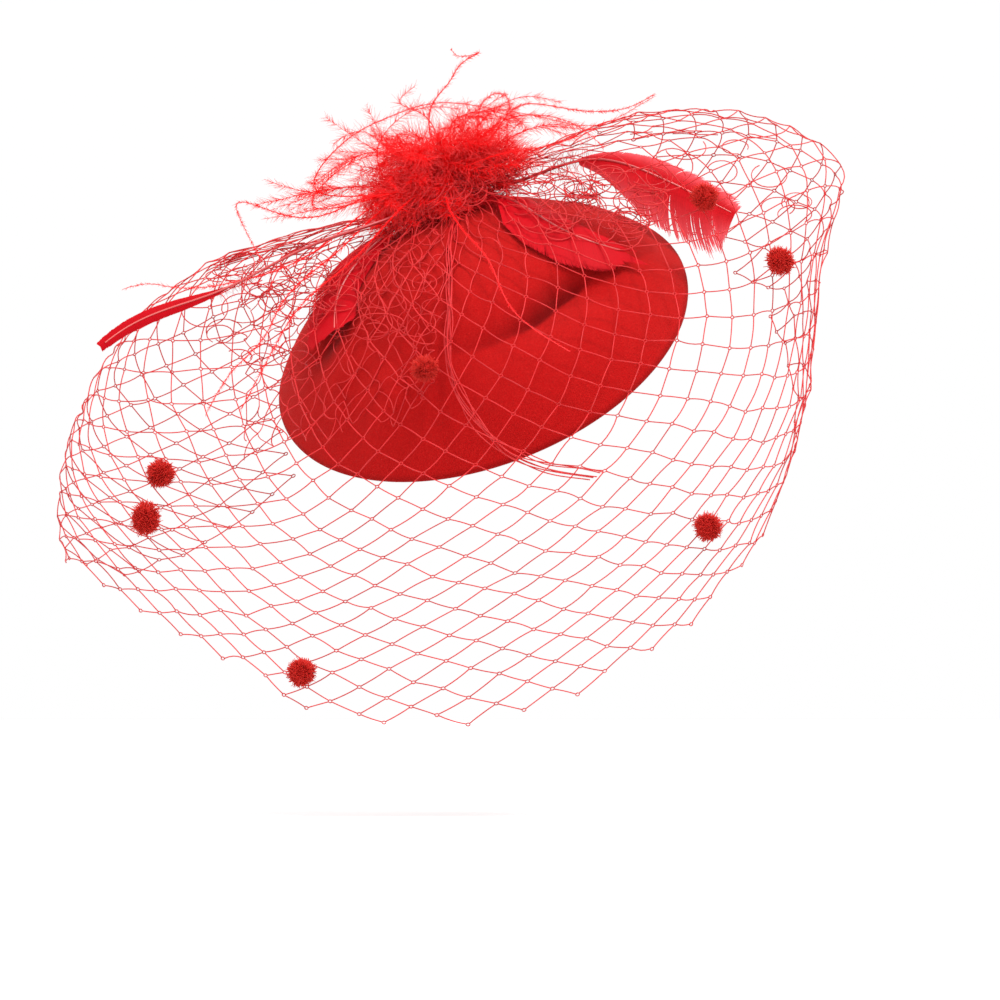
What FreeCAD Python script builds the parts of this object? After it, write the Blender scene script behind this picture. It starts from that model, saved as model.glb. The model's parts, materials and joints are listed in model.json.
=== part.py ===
import FreeCAD, Part
import math
import os

# Fascinator headpiece as worn: a small felt crown clipped to the hair, with a
# gathered net veil, goose feathers, ostrich fronds and a marabou puff on top.
# Millimetres. +Z up with the wearer's head upright, the wearer faces -Y, and
# the origin is the centre of the crown's rim, the face that rests on the head.

V = FreeCAD.Vector

# Felt crown: a shallow cap with one curved crease pressed into its front.
RIM_R = 75.0            # outer radius of the rim
CROWN_H = 40.0          # height of the crown above the rim
FELT_T = 2.2            # felt thickness
LEAN_DEG = 39.5         # lean of the crown's axis from the vertical
TURN_DEG = 29.2         # direction of that lean, from the front towards -X
CREASE_R = 43.0         # radius of the crease about the crown's axis
CREASE_TUBE = 6.0       # radius of the pressed groove
CREASE_OUT = 4.6        # mean height of the groove's centre above the felt
CREASE_TILT_DEG = 6.0   # tilt that makes the groove deep at one side only
CREASE_AT_DEG = -50.0   # where the groove is deepest

# Hair clip under the crown.
PAD_T = 4.3             # felt pad, at its middle
PAD_HALF_X = 25.0
PAD_HALF_Y = 11.0
PAD_GAP = 0.1           # between pad and crown
CLIP_POLAR_DEG = 29.0   # place of the clip, from the crown's axis
CLIP_AT_DEG = 95.0
PLATE_X0 = -24.0
PLATE_X1 = 22.0
PLATE_T = 0.7
PLATE_HALF_Y = 4.6
EAR_T = 0.7
JAW_T = 0.8
JAW_GAP = 0.3           # between the jaws' tips when the clip is shut
JAW_X0 = -23.5
TAIL_X1 = 24.0
PIVOT_X = 10.0
PIVOT_Z = -3.6
PIN_R = 0.8
PIN_HEAD_R = 1.3
PIN_HEAD_T = 0.5
PIN_PRESS_GAP = 0.02    # pin in the plate's ears
PIN_RUN_GAP = 0.06      # pin in the fork's ears
SIDE_GAP = 0.3          # between the two pairs of ears
SPRING_T = 0.35
SPRING_HALF_Y = 2.4
STITCH_R = 0.25
STITCHES_X = (-15.0, -9.0, -3.0)

# Trimming on top.
TRIM_X = 10.0           # place of the trimming in the crown's own axes
TRIM_Y = 42.0
DISC_R = 16.0
DISC_T = 1.5
DISC_GAP = 0.05
BIND_R = 4.0
BIND_H = 8.5
GATHER_R = 5.3          # thread ring that holds the gathered net
GATHER_UP = 4.0         # its height above the felt disc
LOW_ROOT_UP = 3.0       # height of the stems that leave below the net
GATHER_TUBE = 0.9
PUFF_SIZE = (27.0, 19.0, 13.0)
PUFF_UP = 14.0
DOT_R = 4.7
DOT_GAP = 0.5
NET_T = 0.3
VEIL_RING_R = 8.6       # radius that the net is gathered to
VEIL_RING_UP = 5.6
VEIL_FROM_DEG = 50.0    # the gather runs from here, clockwise seen from above
VEIL_SWEEP_DEG = 280.0
VANE_T = 0.5

# The crown that the net's and the feathers' routes are laid out on
ROUTE_RIM_R = 75.0
ROUTE_CROWN_H = 40.0
ROUTE_TRIM_X = 10.0
ROUTE_TRIM_Y = 42.0


def crown_axes():
    """Axes of the crown: across, back and outward."""
    lean = math.radians(LEAN_DEG)
    turn = math.radians(TURN_DEG)
    out = V(-math.sin(lean) * math.sin(turn), -math.sin(lean) * math.cos(turn), math.cos(lean))
    across = V(out.z, 0, -out.x).normalize()
    back = out.cross(across)
    return across, back, out


ACROSS, BACK, OUT = crown_axes()
CAP_R = (RIM_R ** 2 + CROWN_H ** 2) / (2 * CROWN_H)
CAP_IN_R = CAP_R - FELT_T
CAP_DROP = CROWN_H - CAP_R          # the cap's centre along the crown's axis
CAP_CENTRE = OUT * CAP_DROP


def frame_matrix(x_axis, y_axis, z_axis, at):
    """Placement matrix of a frame given by its three axes and its origin."""
    return FreeCAD.Matrix(
        x_axis.x, y_axis.x, z_axis.x, at.x,
        x_axis.y, y_axis.y, z_axis.y, at.y,
        x_axis.z, y_axis.z, z_axis.z, at.z,
        0, 0, 0, 1)


def placed(shape, matrix):
    """Copy of a shape moved by a rigid placement."""
    moved = shape.copy()
    moved.Placement = FreeCAD.Placement(matrix)
    return moved


CROWN_FRAME = frame_matrix(ACROSS, BACK, OUT, V(0, 0, 0))


def save(name, shape):
    """Write one piece of the assembly."""
    shape.exportStep("parts/" + name + ".step")


def prism(points, half_y):
    """Solid from an outline in the X-Z plane, equally wide to both sides of it."""
    corners = [V(x, -half_y, z) for x, z in points]
    wire = Part.makePolygon(corners + corners[:1])
    return Part.Face(wire).extrude(V(0, 2 * half_y, 0))


def slab(points, y0, y1):
    """Solid from an outline in the X-Z plane, between two Y values."""
    corners = [V(x, y0, z) for x, z in points]
    wire = Part.makePolygon(corners + corners[:1])
    return Part.Face(wire).extrude(V(0, y1 - y0, 0))


def cylinder_y(x, z, radius, y0, y1):
    """Cylinder along Y."""
    return Part.makeCylinder(radius, y1 - y0, V(x, y0, z), V(0, 1, 0))


def cylinder_between(start, end, radius):
    """Cylinder from one point to another."""
    step = end - start
    return Part.makeCylinder(radius, step.Length, start, step)


def strip(path, thickness, half_y):
    """Bent flat strip that follows a path in the X-Z plane."""
    left = []
    right = []
    for i, (x, z) in enumerate(path):
        x0, z0 = path[max(i - 1, 0)]
        x1, z1 = path[min(i + 1, len(path) - 1)]
        length = math.hypot(x1 - x0, z1 - z0)
        nx = -(z1 - z0) / length * thickness / 2
        nz = (x1 - x0) / length * thickness / 2
        left.append((x + nx, z + nz))
        right.append((x - nx, z - nz))
    return prism(left + right[::-1], half_y)


def smooth_line(points, count):
    """Evenly spaced points along one smooth curve through the given ones."""
    curve = Part.BSplineCurve()
    curve.interpolate(Points=points)
    return curve.discretize(Number=count)


def spindle(points, radii, count=14, sides=8):
    """Slender round solid along a smooth curve, its radius blended along it."""
    centres = smooth_line(points, count)
    side = None
    rings = []
    for i, centre in enumerate(centres):
        ahead = (centres[min(i + 1, count - 1)] - centres[max(i - 1, 0)]).normalize()
        if side is None:
            side = ahead.cross(V(0.2, 0.3, 1)).normalize()
        side = (side - ahead * side.dot(ahead)).normalize()
        other = ahead.cross(side)
        place = i / (count - 1) * (len(radii) - 1)
        k = min(int(place), len(radii) - 2)
        radius = radii[k] + (radii[k + 1] - radii[k]) * (place - k)
        ring = []
        for j in range(sides):
            angle = 2 * math.pi * j / sides
            ring.append(centre + side * (radius * math.cos(angle)) + other * (radius * math.sin(angle)))
        curve = Part.BSplineCurve()
        curve.interpolate(Points=ring, PeriodicFlag=True)
        rings.append(Part.Wire(curve.toShape()))
    return Part.makeLoft(rings, True)


def sheet_solid(grid, thickness):
    """Closed thin solid along a surface through a grid of points."""
    rows = len(grid)
    cols = len(grid[0])
    above = []
    below = []
    for i in range(rows):
        up_row = []
        down_row = []
        for j in range(cols):
            along = grid[min(i + 1, rows - 1)][j] - grid[max(i - 1, 0)][j]
            over = grid[i][min(j + 1, cols - 1)] - grid[i][max(j - 1, 0)]
            normal = along.cross(over).normalize() * (thickness / 2)
            up_row.append(grid[i][j] + normal)
            down_row.append(grid[i][j] - normal)
        above.append(up_row)
        below.append(down_row)
    top = Part.BSplineSurface()
    top.interpolate(above)
    bottom = Part.BSplineSurface()
    bottom.interpolate(below)
    faces = [top.toShape(), bottom.toShape()]
    u0, u1, v0, v1 = top.bounds()
    s0, s1, t0, t1 = bottom.bounds()
    for edge_a, edge_b in ((top.uIso(u0), bottom.uIso(s0)), (top.uIso(u1), bottom.uIso(s1)),
                           (top.vIso(v0), bottom.vIso(t0)), (top.vIso(v1), bottom.vIso(t1))):
        faces.append(Part.makeRuledSurface(edge_a.toShape(), edge_b.toShape(), 1))
    skin = Part.Compound(faces)
    skin.sewShape()
    solid = Part.makeSolid(skin.Shells[0])
    if solid.Volume < 0:
        solid.reverse()
    return solid


def felt_crown():
    """Felt cap with its pressed crease; one thickness throughout."""
    centre = V(0, 0, CAP_DROP)
    above = Part.makeBox(400, 400, 200, V(-200, -200, 0))
    at = math.radians(CREASE_AT_DEG)
    ring_z = CAP_DROP + math.sqrt(CAP_R ** 2 - CREASE_R ** 2)
    lift = V(0, 0, ring_z) + V(0, 0, CREASE_OUT)
    hinge = V(-math.sin(at), math.cos(at), 0)
    outer = Part.makeSphere(CAP_R, centre).common(above)
    inner = Part.makeSphere(CAP_IN_R, centre).common(above)
    groove = Part.makeTorus(CREASE_R, CREASE_TUBE, lift, V(0, 0, 1))
    groove.rotate(lift, hinge, CREASE_TILT_DEG)
    groove_in = Part.makeTorus(CREASE_R, CREASE_TUBE + FELT_T, lift, V(0, 0, 1))
    groove_in.rotate(lift, hinge, CREASE_TILT_DEG)
    felt = outer.cut(groove).cut(inner.cut(groove_in))
    return placed(felt, CROWN_FRAME)


def clip_frame():
    """Frame of the clip: X towards the rim, Z towards the felt."""
    polar = math.radians(CLIP_POLAR_DEG)
    at = math.radians(CLIP_AT_DEG)
    z_axis = V(math.sin(polar) * math.cos(at), math.sin(polar) * math.sin(at), math.cos(polar))
    x_axis = V(math.cos(polar) * math.cos(at), math.cos(polar) * math.sin(at), -math.sin(polar))
    origin = V(0, 0, CAP_DROP) + z_axis * (CAP_IN_R - PAD_GAP - PAD_T)
    local = frame_matrix(x_axis, z_axis.cross(x_axis), z_axis, origin)
    return CROWN_FRAME.multiply(local)


def clip_pieces():
    """The sprung hair clip and the pad and stitches that hold it."""
    pieces = {}
    pad_ball = Part.makeSphere(CAP_IN_R - PAD_GAP, V(0, 0, PAD_T - CAP_IN_R + PAD_GAP))
    oval = Part.makeCylinder(1.0, PAD_T + 2)
    stretch = FreeCAD.Matrix()
    stretch.scale(PAD_HALF_X, PAD_HALF_Y, 1)
    pieces["clip_pad"] = pad_ball.common(oval.transformGeometry(stretch))

    plate = Part.makeBox(PLATE_X1 - PLATE_X0, 2 * PLATE_HALF_Y, PLATE_T, V(PLATE_X0, -PLATE_HALF_Y, -PLATE_T))
    corners = [edge for edge in plate.Edges if abs(edge.Vertexes[0].Z - edge.Vertexes[1].Z) > 0.1]
    plate = plate.makeFillet(2.5, corners)
    ear = [(PIVOT_X - 5, -PLATE_T / 2), (PIVOT_X + 5, -PLATE_T / 2), (PIVOT_X + 2.2, -5.6), (PIVOT_X - 2.2, -5.6)]
    plate = plate.fuse(slab(ear, PLATE_HALF_Y - EAR_T, PLATE_HALF_Y))
    plate = plate.fuse(slab(ear, -PLATE_HALF_Y, EAR_T - PLATE_HALF_Y))
    plate = plate.cut(cylinder_y(PIVOT_X, PIVOT_Z, PIN_R + PIN_PRESS_GAP, -10, 10))
    pieces["clip_plate"] = plate.removeSplitter()

    head_y = PLATE_HALF_Y + 0.05
    pin = cylinder_y(PIVOT_X, PIVOT_Z, PIN_R, -head_y, head_y)
    pin = pin.fuse(cylinder_y(PIVOT_X, PIVOT_Z, PIN_HEAD_R, head_y, head_y + PIN_HEAD_T))
    pin = pin.fuse(cylinder_y(PIVOT_X, PIVOT_Z, PIN_HEAD_R, -head_y - PIN_HEAD_T, -head_y))
    pieces["clip_pin"] = pin

    tip_z = -PLATE_T - JAW_GAP
    knee_z = -5.8
    tail_z = -10.4
    jaw = [(JAW_X0, tip_z), (PIVOT_X, knee_z), (TAIL_X1, tail_z),
           (TAIL_X1, tail_z - JAW_T), (PIVOT_X, knee_z - JAW_T), (JAW_X0, tip_z - JAW_T)]
    half_y = PLATE_HALF_Y - EAR_T - SIDE_GAP
    fork = prism(jaw, half_y)
    fork = fork.cut(Part.makeBox(22.5, 2.0, 12, V(JAW_X0 - 1, -1.0, -12)))
    fork_ear = [(PIVOT_X - 5, -5.3), (PIVOT_X - 1.6, -2.2), (PIVOT_X + 1.6, -2.2), (PIVOT_X + 5, -7.6)]
    fork = fork.fuse(slab(fork_ear, half_y - EAR_T, half_y))
    fork = fork.fuse(slab(fork_ear, -half_y, EAR_T - half_y))
    fork = fork.cut(cylinder_y(PIVOT_X, PIVOT_Z, PIN_R + PIN_RUN_GAP, -10, 10))
    pieces["clip_fork"] = fork.removeSplitter()

    bend = 1.9
    path = [(PIVOT_X + 7, -1.0), (PIVOT_X + 3.5, -1.3)]
    for i in range(9):
        angle = math.radians(90 + 180 * i / 8)
        path.append((PIVOT_X + bend * math.cos(angle), PIVOT_Z + bend * math.sin(angle)))
    path += [(PIVOT_X + 3.5, -6.65), (PIVOT_X + 7, -7.8)]
    pieces["clip_spring"] = strip(path, SPRING_T, SPRING_HALF_Y)

    loops = []
    reach = PLATE_HALF_Y + 0.1 + STITCH_R
    low = -PLATE_T - 0.03 - STITCH_R
    for x in STITCHES_X:
        loop = cylinder_between(V(x, -reach, low), V(x, reach, low), STITCH_R)
        for side in (-reach, reach):
            loop = loop.fuse(Part.makeSphere(STITCH_R, V(x, side, low)))
            loop = loop.fuse(cylinder_between(V(x, side, low), V(x, side, 0), STITCH_R))
        loops.append(loop)
    pieces["clip_stitches"] = Part.Compound(loops)
    frame = clip_frame()
    return {name: placed(shape, frame) for name, shape in pieces.items()}


def trim_axes():
    """Place of the trimming on the felt, and its outward, right and back axes."""
    foot_z = CAP_DROP + math.sqrt(CAP_R ** 2 - TRIM_X ** 2 - TRIM_Y ** 2)
    foot = ACROSS * TRIM_X + BACK * TRIM_Y + OUT * foot_z
    up = (foot - CAP_CENTRE).normalize()
    right = (V(1, 0, 0) - up * up.x).normalize()
    return foot, up, right, up.cross(right)


FOOT, UP, RIGHT, REAR = trim_axes()
ROOT = FOOT + UP * (DISC_GAP + DISC_T + BIND_H + 0.4)
LOW_ROOT = FOOT + UP * LOW_ROOT_UP


def cap_height(x, y, rim_r, crown_h):
    """Height of a crown's outer face above the plane of its rim."""
    cap_r = (rim_r ** 2 + crown_h ** 2) / (2 * crown_h)
    return crown_h - cap_r + math.sqrt(cap_r ** 2 - min(x * x + y * y, rim_r ** 2))


def route(*triples):
    """Points of a route, which keep their place about the trimming and their
    height over the felt when the crown's size changes."""
    grow = RIM_R / ROUTE_RIM_R
    result = []
    for triple in triples:
        point = V(*triple)
        x, y = point.dot(ACROSS), point.dot(BACK)
        new_x = TRIM_X + (x - ROUTE_TRIM_X) * grow
        new_y = TRIM_Y + (y - ROUTE_TRIM_Y) * grow
        lift = cap_height(new_x, new_y, RIM_R, CROWN_H) - cap_height(x, y, ROUTE_RIM_R, ROUTE_CROWN_H)
        result.append(point + ACROSS * (new_x - x) + BACK * (new_y - y) + OUT * lift)
    return result


def trim_pieces():
    """Felt disc, thread binding of the stems, and the veil's gathering thread."""
    pieces = {}
    inner_r = CAP_R + DISC_GAP
    shell = Part.makeSphere(inner_r + DISC_T, CAP_CENTRE).cut(Part.makeSphere(inner_r, CAP_CENTRE))
    pieces["trim_disc"] = shell.common(Part.makeCylinder(DISC_R, 20, FOOT - UP * 10, UP))
    base = FOOT + UP * (DISC_GAP + DISC_T + 0.05)
    post = Part.makeCylinder(BIND_R, BIND_H, base, UP)
    top_edge = [edge for edge in post.Edges if (edge.CenterOfMass - base).dot(UP) > BIND_H - 0.1]
    pieces["stem_binding"] = post.makeFillet(1.5, top_edge)
    pieces["veil_gather_thread"] = Part.makeTorus(GATHER_R, GATHER_TUBE, base + UP * GATHER_UP, UP)
    return pieces


# The veil's ribs, from its right end at the back, round the front, to its left
# end at the back. Each runs from the gather out and down to the free edge.
VEIL_RIBS = [
    [(8, 30, 62), (30, 44, 73), (55, 52, 71), (64, 54, 54), (64, 48, 37)],
    [(13, 28, 65), (48, 40, 79), (77, 48, 79), (91, 52, 57), (82, 46, 31)],
    [(16, 22, 66), (62, 30, 80), (102, 34, 77), (116, 40, 50), (94, 30, 15)],
    [(18, 12, 64), (72, 14, 75), (123, 14, 65), (119, 16, 38), (103, 8, -3)],
    [(16, 1, 61), (69, -2, 68), (110, -6, 54), (117, -8, 19), (107, -18, -24)],
    [(13, -5, 55), (55, -14, 50), (91, -26, 22), (107, -38, -19), (99, -52, -61)],
    [(8, -8, 50), (37, -34, 29), (62, -56, -9), (77, -72, -51), (72, -86, -96)],
    [(2, -9, 45), (20, -51, 15), (34, -70, -30), (42, -92, -75), (40, -102, -118)],
    [(-5, -8, 43), (-3, -52, 12), (-1, -71, -33), (2, -95, -86), (2, -106, -131)],
    [(-11, -3, 43), (-25, -40, 15), (-34, -58, -30), (-36, -86, -86), (-34, -101, -134)],
    [(-18, 3, 45), (-45, -14, 21), (-64, -30, -23), (-71, -62, -75), (-67, -85, -125)],
    [(-24, 10, 45), (-60, -2, 24), (-92, -20, -13), (-102, -44, -61), (-93, -67, -108)],
    [(-27, 17, 45), (-74, 4, 29), (-116, -10, -2), (-133, -24, -44), (-121, -46, -91)],
    [(-29, 24, 46), (-83, 17, 33), (-128, 10, 0), (-147, 0, -47), (-144, -14, -76)],
    [(-29, 30, 47), (-83, 30, 33), (-125, 32, 0), (-142, 30, -40), (-131, 14, -80)],
    [(-28, 36, 48), (-77, 42, 33), (-111, 48, 1), (-125, 50, -37), (-111, 36, -80)],
    [(-26, 42, 49), (-67, 52, 31), (-90, 58, 1), (-98, 60, -30), (-88, 46, -65)],
    [(-24, 46, 49), (-55, 58, 29), (-69, 64, 1), (-72, 62, -23), (-66, 52, -47)],
]


def mean_places(lines):
    """Places from 0 to 1 of the points of several like lines, by mean spacing."""
    places = [0.0]
    for k in range(len(lines[0]) - 1):
        places.append(places[-1] + sum((line[k + 1] - line[k]).Length for line in lines))
    return [place / places[-1] for place in places]


def resampled(lines, count):
    """Evenly spaced points along smooth curves through each of several like lines."""
    places = mean_places(lines)
    result = []
    for line in lines:
        curve = Part.BSplineCurve()
        curve.interpolate(Points=line, Parameters=places)
        result.append([curve.value(k / (count - 1)) for k in range(count)])
    return result


def veil_net():
    """The gathered veil as one thin closed sheet of its true outer shape."""
    start = FOOT + UP * VEIL_RING_UP
    grid = []
    last = len(VEIL_RIBS) - 1
    for i, rib in enumerate(VEIL_RIBS):
        angle = math.radians(VEIL_FROM_DEG - VEIL_SWEEP_DEG * i / last)
        first = start + (RIGHT * math.cos(angle) + REAR * math.sin(angle)) * VEIL_RING_R
        grid.append([first] + route(*rib))
    around = resampled([list(line) for line in zip(*grid)], 41)
    outward = resampled([list(line) for line in zip(*around)], 15)
    return sheet_solid(outward, NET_T)


def dot_pieces(veil):
    """Chenille dots, each glued to the outside of the net."""
    places = {
        "veil_dot_right_top": ((103.0, -22.0, 28.5), 1.0),
        "veil_dot_right_low": ((77.3, -78.0, -63.7), 1.0),
        "veil_dot_low_left": ((-62.0, -92.0, -113.5), 1.0),
        "veil_dot_left_low": ((-116.0, -42.0, -61.3), 1.25),
        "veil_dot_left_top": ((-111.4, -36.0, -45.2), 1.0),
        "veil_dot_crown": ((-20.2, -58.0, -9.0), 0.9),
        "veil_dot_feather": ((76.9, -13.0, 50.8), 1.0),
    }
    pieces = {}
    for name, (place, tall) in places.items():
        x, _, z = route(place)[0]
        ray = Part.makeLine(V(x, -200, z), V(x, 200, z))
        hit = min((vertex.Point for vertex in veil.common(ray).Vertexes), key=lambda p: p.y)
        probe = Part.Vertex(hit + V(0, -6, 0))
        near = veil.distToShape(probe)[1][0][0]
        away = (probe.Point - near).normalize()
        ball = Part.makeSphere(DOT_R)
        shape = FreeCAD.Matrix()
        shape.scale(1.0, 1.0, tall)
        ball = ball.transformGeometry(shape)
        ball.translate(near + away * (DOT_R * tall + DOT_GAP))
        pieces[name] = ball
    return pieces


def feather(centre, halves, face, camber, quill_r, bare):
    """Goose feather: a cambered vane on the end of a bare quill."""
    line = smooth_line(centre, 41)
    first = int(bare * 40)
    steps = 8
    grid = []
    for i in range(steps + 1):
        k = first + (40 - first) * i // steps
        middle = line[k]
        ahead = (line[min(k + 1, 40)] - line[k - 1]).normalize()
        across = ahead.cross(face).normalize()
        raised = across.cross(ahead)
        place = i / steps * (len(halves) - 1)
        n = min(int(place), len(halves) - 2)
        half = halves[n] + (halves[n + 1] - halves[n]) * (place - n)
        row = []
        for j in (-1.0, -0.5, 0.0, 0.5, 1.0):
            row.append(middle + across * (half * j) - raised * (camber * half * j ** 2))
        grid.append(row)
    vane = sheet_solid(grid, VANE_T)
    quill = spindle(line[:first + 3], [quill_r, quill_r * 0.6])
    return vane.fuse(quill)


def feather_pieces():
    """The four goose feathers."""
    return {
        "feather_left_long": feather(
            [ROOT - RIGHT * 5 - UP * 3] + route((-32, 1, 45), (-60, -9, 36), (-92, -18, 19), (-134, -27, -1)),
            [1.0, 2.4, 2.6, 2.4, 2.2], V(0.1, -1, 0.3), 0.3, 0.8, 0.55),
        "feather_left_leaf": feather(
            [LOW_ROOT - RIGHT * 5] + route((-22, 15, 45.5), (-38, 4, 33.5), (-48.5, -9, 18), (-48, -28.5, -1.5)),
            [1.2, 5.0, 7.0, 6.0, 1.6], V(-0.6, -0.7, 0.4), 0.2, 0.8, 0.42),
        "feather_right_leaf": feather(
            [LOW_ROOT + RIGHT * 3 - REAR * 4.2] + route((7, -0.5, 51), (24, -20, 41.5), (37, -26, 35.5), (49, -25, 32)),
            [2.0, 7.5, 9.0, 7.5, 2.0], V(0.13, -0.7, 0.7), 0.15, 0.9, 0.25),
        "feather_far_right": feather(
            [LOW_ROOT + RIGHT * 5] + route((14, 17, 57.5), (38, 12, 64.5), (64, 6, 57), (88, 1, 45)),
            [1.5, 6.0, 10.5, 11.0, 6.0], V(0.05, -0.9, 0.3), 0.25, 1.0, 0.42),
    }


def frond_pieces():
    """Ostrich fronds and stripped wisps that stand out of the puff."""
    fronds = {
        "frond_left_high": ([(-17, 19, 60), (-32, 16, 66), (-48, 13, 64), (-60, 11, 56)], [2.5, 3.5, 3.0, 0.8]),
        "frond_left_low": ([(-20, 22, 57), (-40, 20, 55), (-61, 18, 53), (-79, 17, 49)], [2.2, 2.8, 2.4, 0.8]),
        "frond_top": ([(-12, 20, 67), (-10, 14, 78), (3, 11, 81), (15, 8, 75)], [2.5, 3.4, 2.8, 0.8]),
        "frond_right": ([(-1, 14, 65), (9, 8, 72), (21, 1, 76), (33, -6, 76)], [2.2, 2.8, 2.4, 0.8]),
        "wisp_tall": ([(-16, 15, 68), (-18, 12, 83), (-12, 8, 91), (-6, 6, 99), (-1, 5, 102), (-9, 3, 101),
                       (-11, 2, 103)], [0.7, 0.6, 0.5]),
        "wisp_arch": ([(-3, 8, 66), (-1, 4, 81), (2, 2, 86), (7, 0, 87), (9, -1, 81), (8.5, -2, 77)], [0.7, 0.5]),
        "wisp_right": ([(4, 17, 73), (12, 14, 83), (25, 11, 83), (41, 8, 81), (50, 6, 82), (60, 4, 87)],
                       [0.7, 0.5]),
        "wisp_left_kink": ([(-26, 13, 57), (-50, 6, 47), (-69, 2, 45), (-86, -2, 48), (-84, -3, 42),
                            (-77, -4, 29)], [0.7, 0.5]),
        "wisp_crown": ([(-13, 4, 54), (-6, -24, 38), (3, -45.5, 26), (10, -55, 12), (19, -60, 4), (30, -63, -3)],
                       [0.6, 0.4]),
        "wisp_low_outer": ([(-30, 9, 50), (-52, -8, 31), (-70, -15, 14), (-76, -19, 2), (-86, -24, -9),
                            (-96, -30, -25)], [0.7, 0.4]),
        "wisp_low_inner": ([(-26, 3, 50), (-47, -15, 27), (-62, -19, 14), (-73, -25, -2), (-84, -32, -23)],
                           [0.6, 0.4]),
        "wisp_thin_left": ([(-31, 10, 53), (-60, -3, 31), (-88, -11, 21), (-108, -14, 20), (-117, -15, 21),
                            (-125, -16, 19)], [0.6, 0.4]),
    }
    return {name: spindle(route(*line), radii) for name, (line, radii) in fronds.items()}


def marabou_puff(others):
    """Soft puff around the stems, clear of everything that passes through it."""
    ball = Part.makeSphere(1.0)
    stretch = FreeCAD.Matrix()
    stretch.scale(*PUFF_SIZE)
    ball = ball.transformGeometry(stretch)
    puff = placed(Part.Compound([ball]), frame_matrix(RIGHT, REAR, UP, FOOT + UP * PUFF_UP)).Solids[0]
    puff = puff.cut(Part.makeSphere(CAP_R + DISC_T + 1.0, CAP_CENTRE))
    core = Part.makeCylinder(VEIL_RING_R + 1.0, BIND_H + 3.5, FOOT, UP)
    return puff.cut([core] + others)


def main():
    os.makedirs("parts", exist_ok=True)
    pieces = {"felt_crown": felt_crown()}
    pieces.update(clip_pieces())
    pieces.update(trim_pieces())
    veil = veil_net()
    pieces["veil_net"] = veil
    pieces.update(dot_pieces(veil))
    plumes = feather_pieces()
    plumes.update(frond_pieces())
    pieces.update(plumes)
    pieces["marabou_puff"] = marabou_puff(list(plumes.values()))
    for name, shape in pieces.items():
        save(name, shape)


main()
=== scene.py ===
"""Net and feather fascinator: felt crown, gathered French veiling, chenille dots,
goose feathers, ostrich wisps and a marabou puff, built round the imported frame.
Lengths in the tables are in millimetres, in the frame's own axes."""
import json
import math

import bpy
import numpy as np
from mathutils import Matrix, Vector, noise


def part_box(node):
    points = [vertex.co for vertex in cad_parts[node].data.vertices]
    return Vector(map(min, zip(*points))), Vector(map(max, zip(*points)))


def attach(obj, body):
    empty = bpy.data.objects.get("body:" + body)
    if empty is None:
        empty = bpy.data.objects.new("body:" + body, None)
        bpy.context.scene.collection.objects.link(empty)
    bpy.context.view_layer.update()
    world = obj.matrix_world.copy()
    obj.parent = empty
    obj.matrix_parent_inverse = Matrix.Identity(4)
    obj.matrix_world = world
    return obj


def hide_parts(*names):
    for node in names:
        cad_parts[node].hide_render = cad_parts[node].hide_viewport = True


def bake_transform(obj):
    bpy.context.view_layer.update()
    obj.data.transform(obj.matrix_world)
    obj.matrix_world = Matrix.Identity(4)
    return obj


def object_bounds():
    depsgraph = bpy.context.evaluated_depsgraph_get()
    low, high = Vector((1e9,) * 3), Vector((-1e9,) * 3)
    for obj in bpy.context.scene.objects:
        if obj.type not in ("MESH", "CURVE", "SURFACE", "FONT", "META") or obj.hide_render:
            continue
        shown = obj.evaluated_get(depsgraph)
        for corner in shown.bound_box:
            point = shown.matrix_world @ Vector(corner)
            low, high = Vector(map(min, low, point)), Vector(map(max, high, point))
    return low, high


bl_info = {
    "name": "Fascinator Headpiece",
    "version": (1, 0, 0),
    "blender": (4, 5, 0),
    "location": "View3D > Sidebar > Fascinator",
    "description": "Models a felt fascinator with veil and feathers round its packed frame",
    "category": "Add Mesh",
}

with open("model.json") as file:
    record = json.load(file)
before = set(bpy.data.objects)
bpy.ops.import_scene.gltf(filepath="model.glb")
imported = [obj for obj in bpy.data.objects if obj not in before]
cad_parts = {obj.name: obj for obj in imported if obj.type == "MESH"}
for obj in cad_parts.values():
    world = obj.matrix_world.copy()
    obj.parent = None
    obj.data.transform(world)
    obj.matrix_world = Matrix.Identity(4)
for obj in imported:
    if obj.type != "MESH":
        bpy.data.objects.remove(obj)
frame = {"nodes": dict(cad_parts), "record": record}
CAD_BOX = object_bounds()
NODES = frame["nodes"]
MOUNTS = {m["name"]: m for m in frame["record"]["mounts"]}
MM, PER_METRE = 0.001, 1000.0

# --------------------------------------------------------------------------
# The crown's own axes and the trimming's place on it
# --------------------------------------------------------------------------

RIM_R, CROWN_H, FELT_T = 75.0, 40.0, 2.2
TRIM_X, TRIM_Y = 10.0, 42.0
STEMS_UP, LOW_STEMS_UP = 10.45, 3.0
PAD_T, PAD_GAP = 4.3, 0.1
CLIP_POLAR_DEG, CLIP_AT_DEG = 29.0, 95.0
CAP_R = (RIM_R ** 2 + CROWN_H ** 2) / (2 * CROWN_H)
CAP_REACH = math.asin(RIM_R / CAP_R)


def unit(v):
    """The same directions at a length of one."""
    v = np.asarray(v, float)
    return v / np.maximum(np.linalg.norm(v, axis=-1, keepdims=True), 1e-12)


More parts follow.
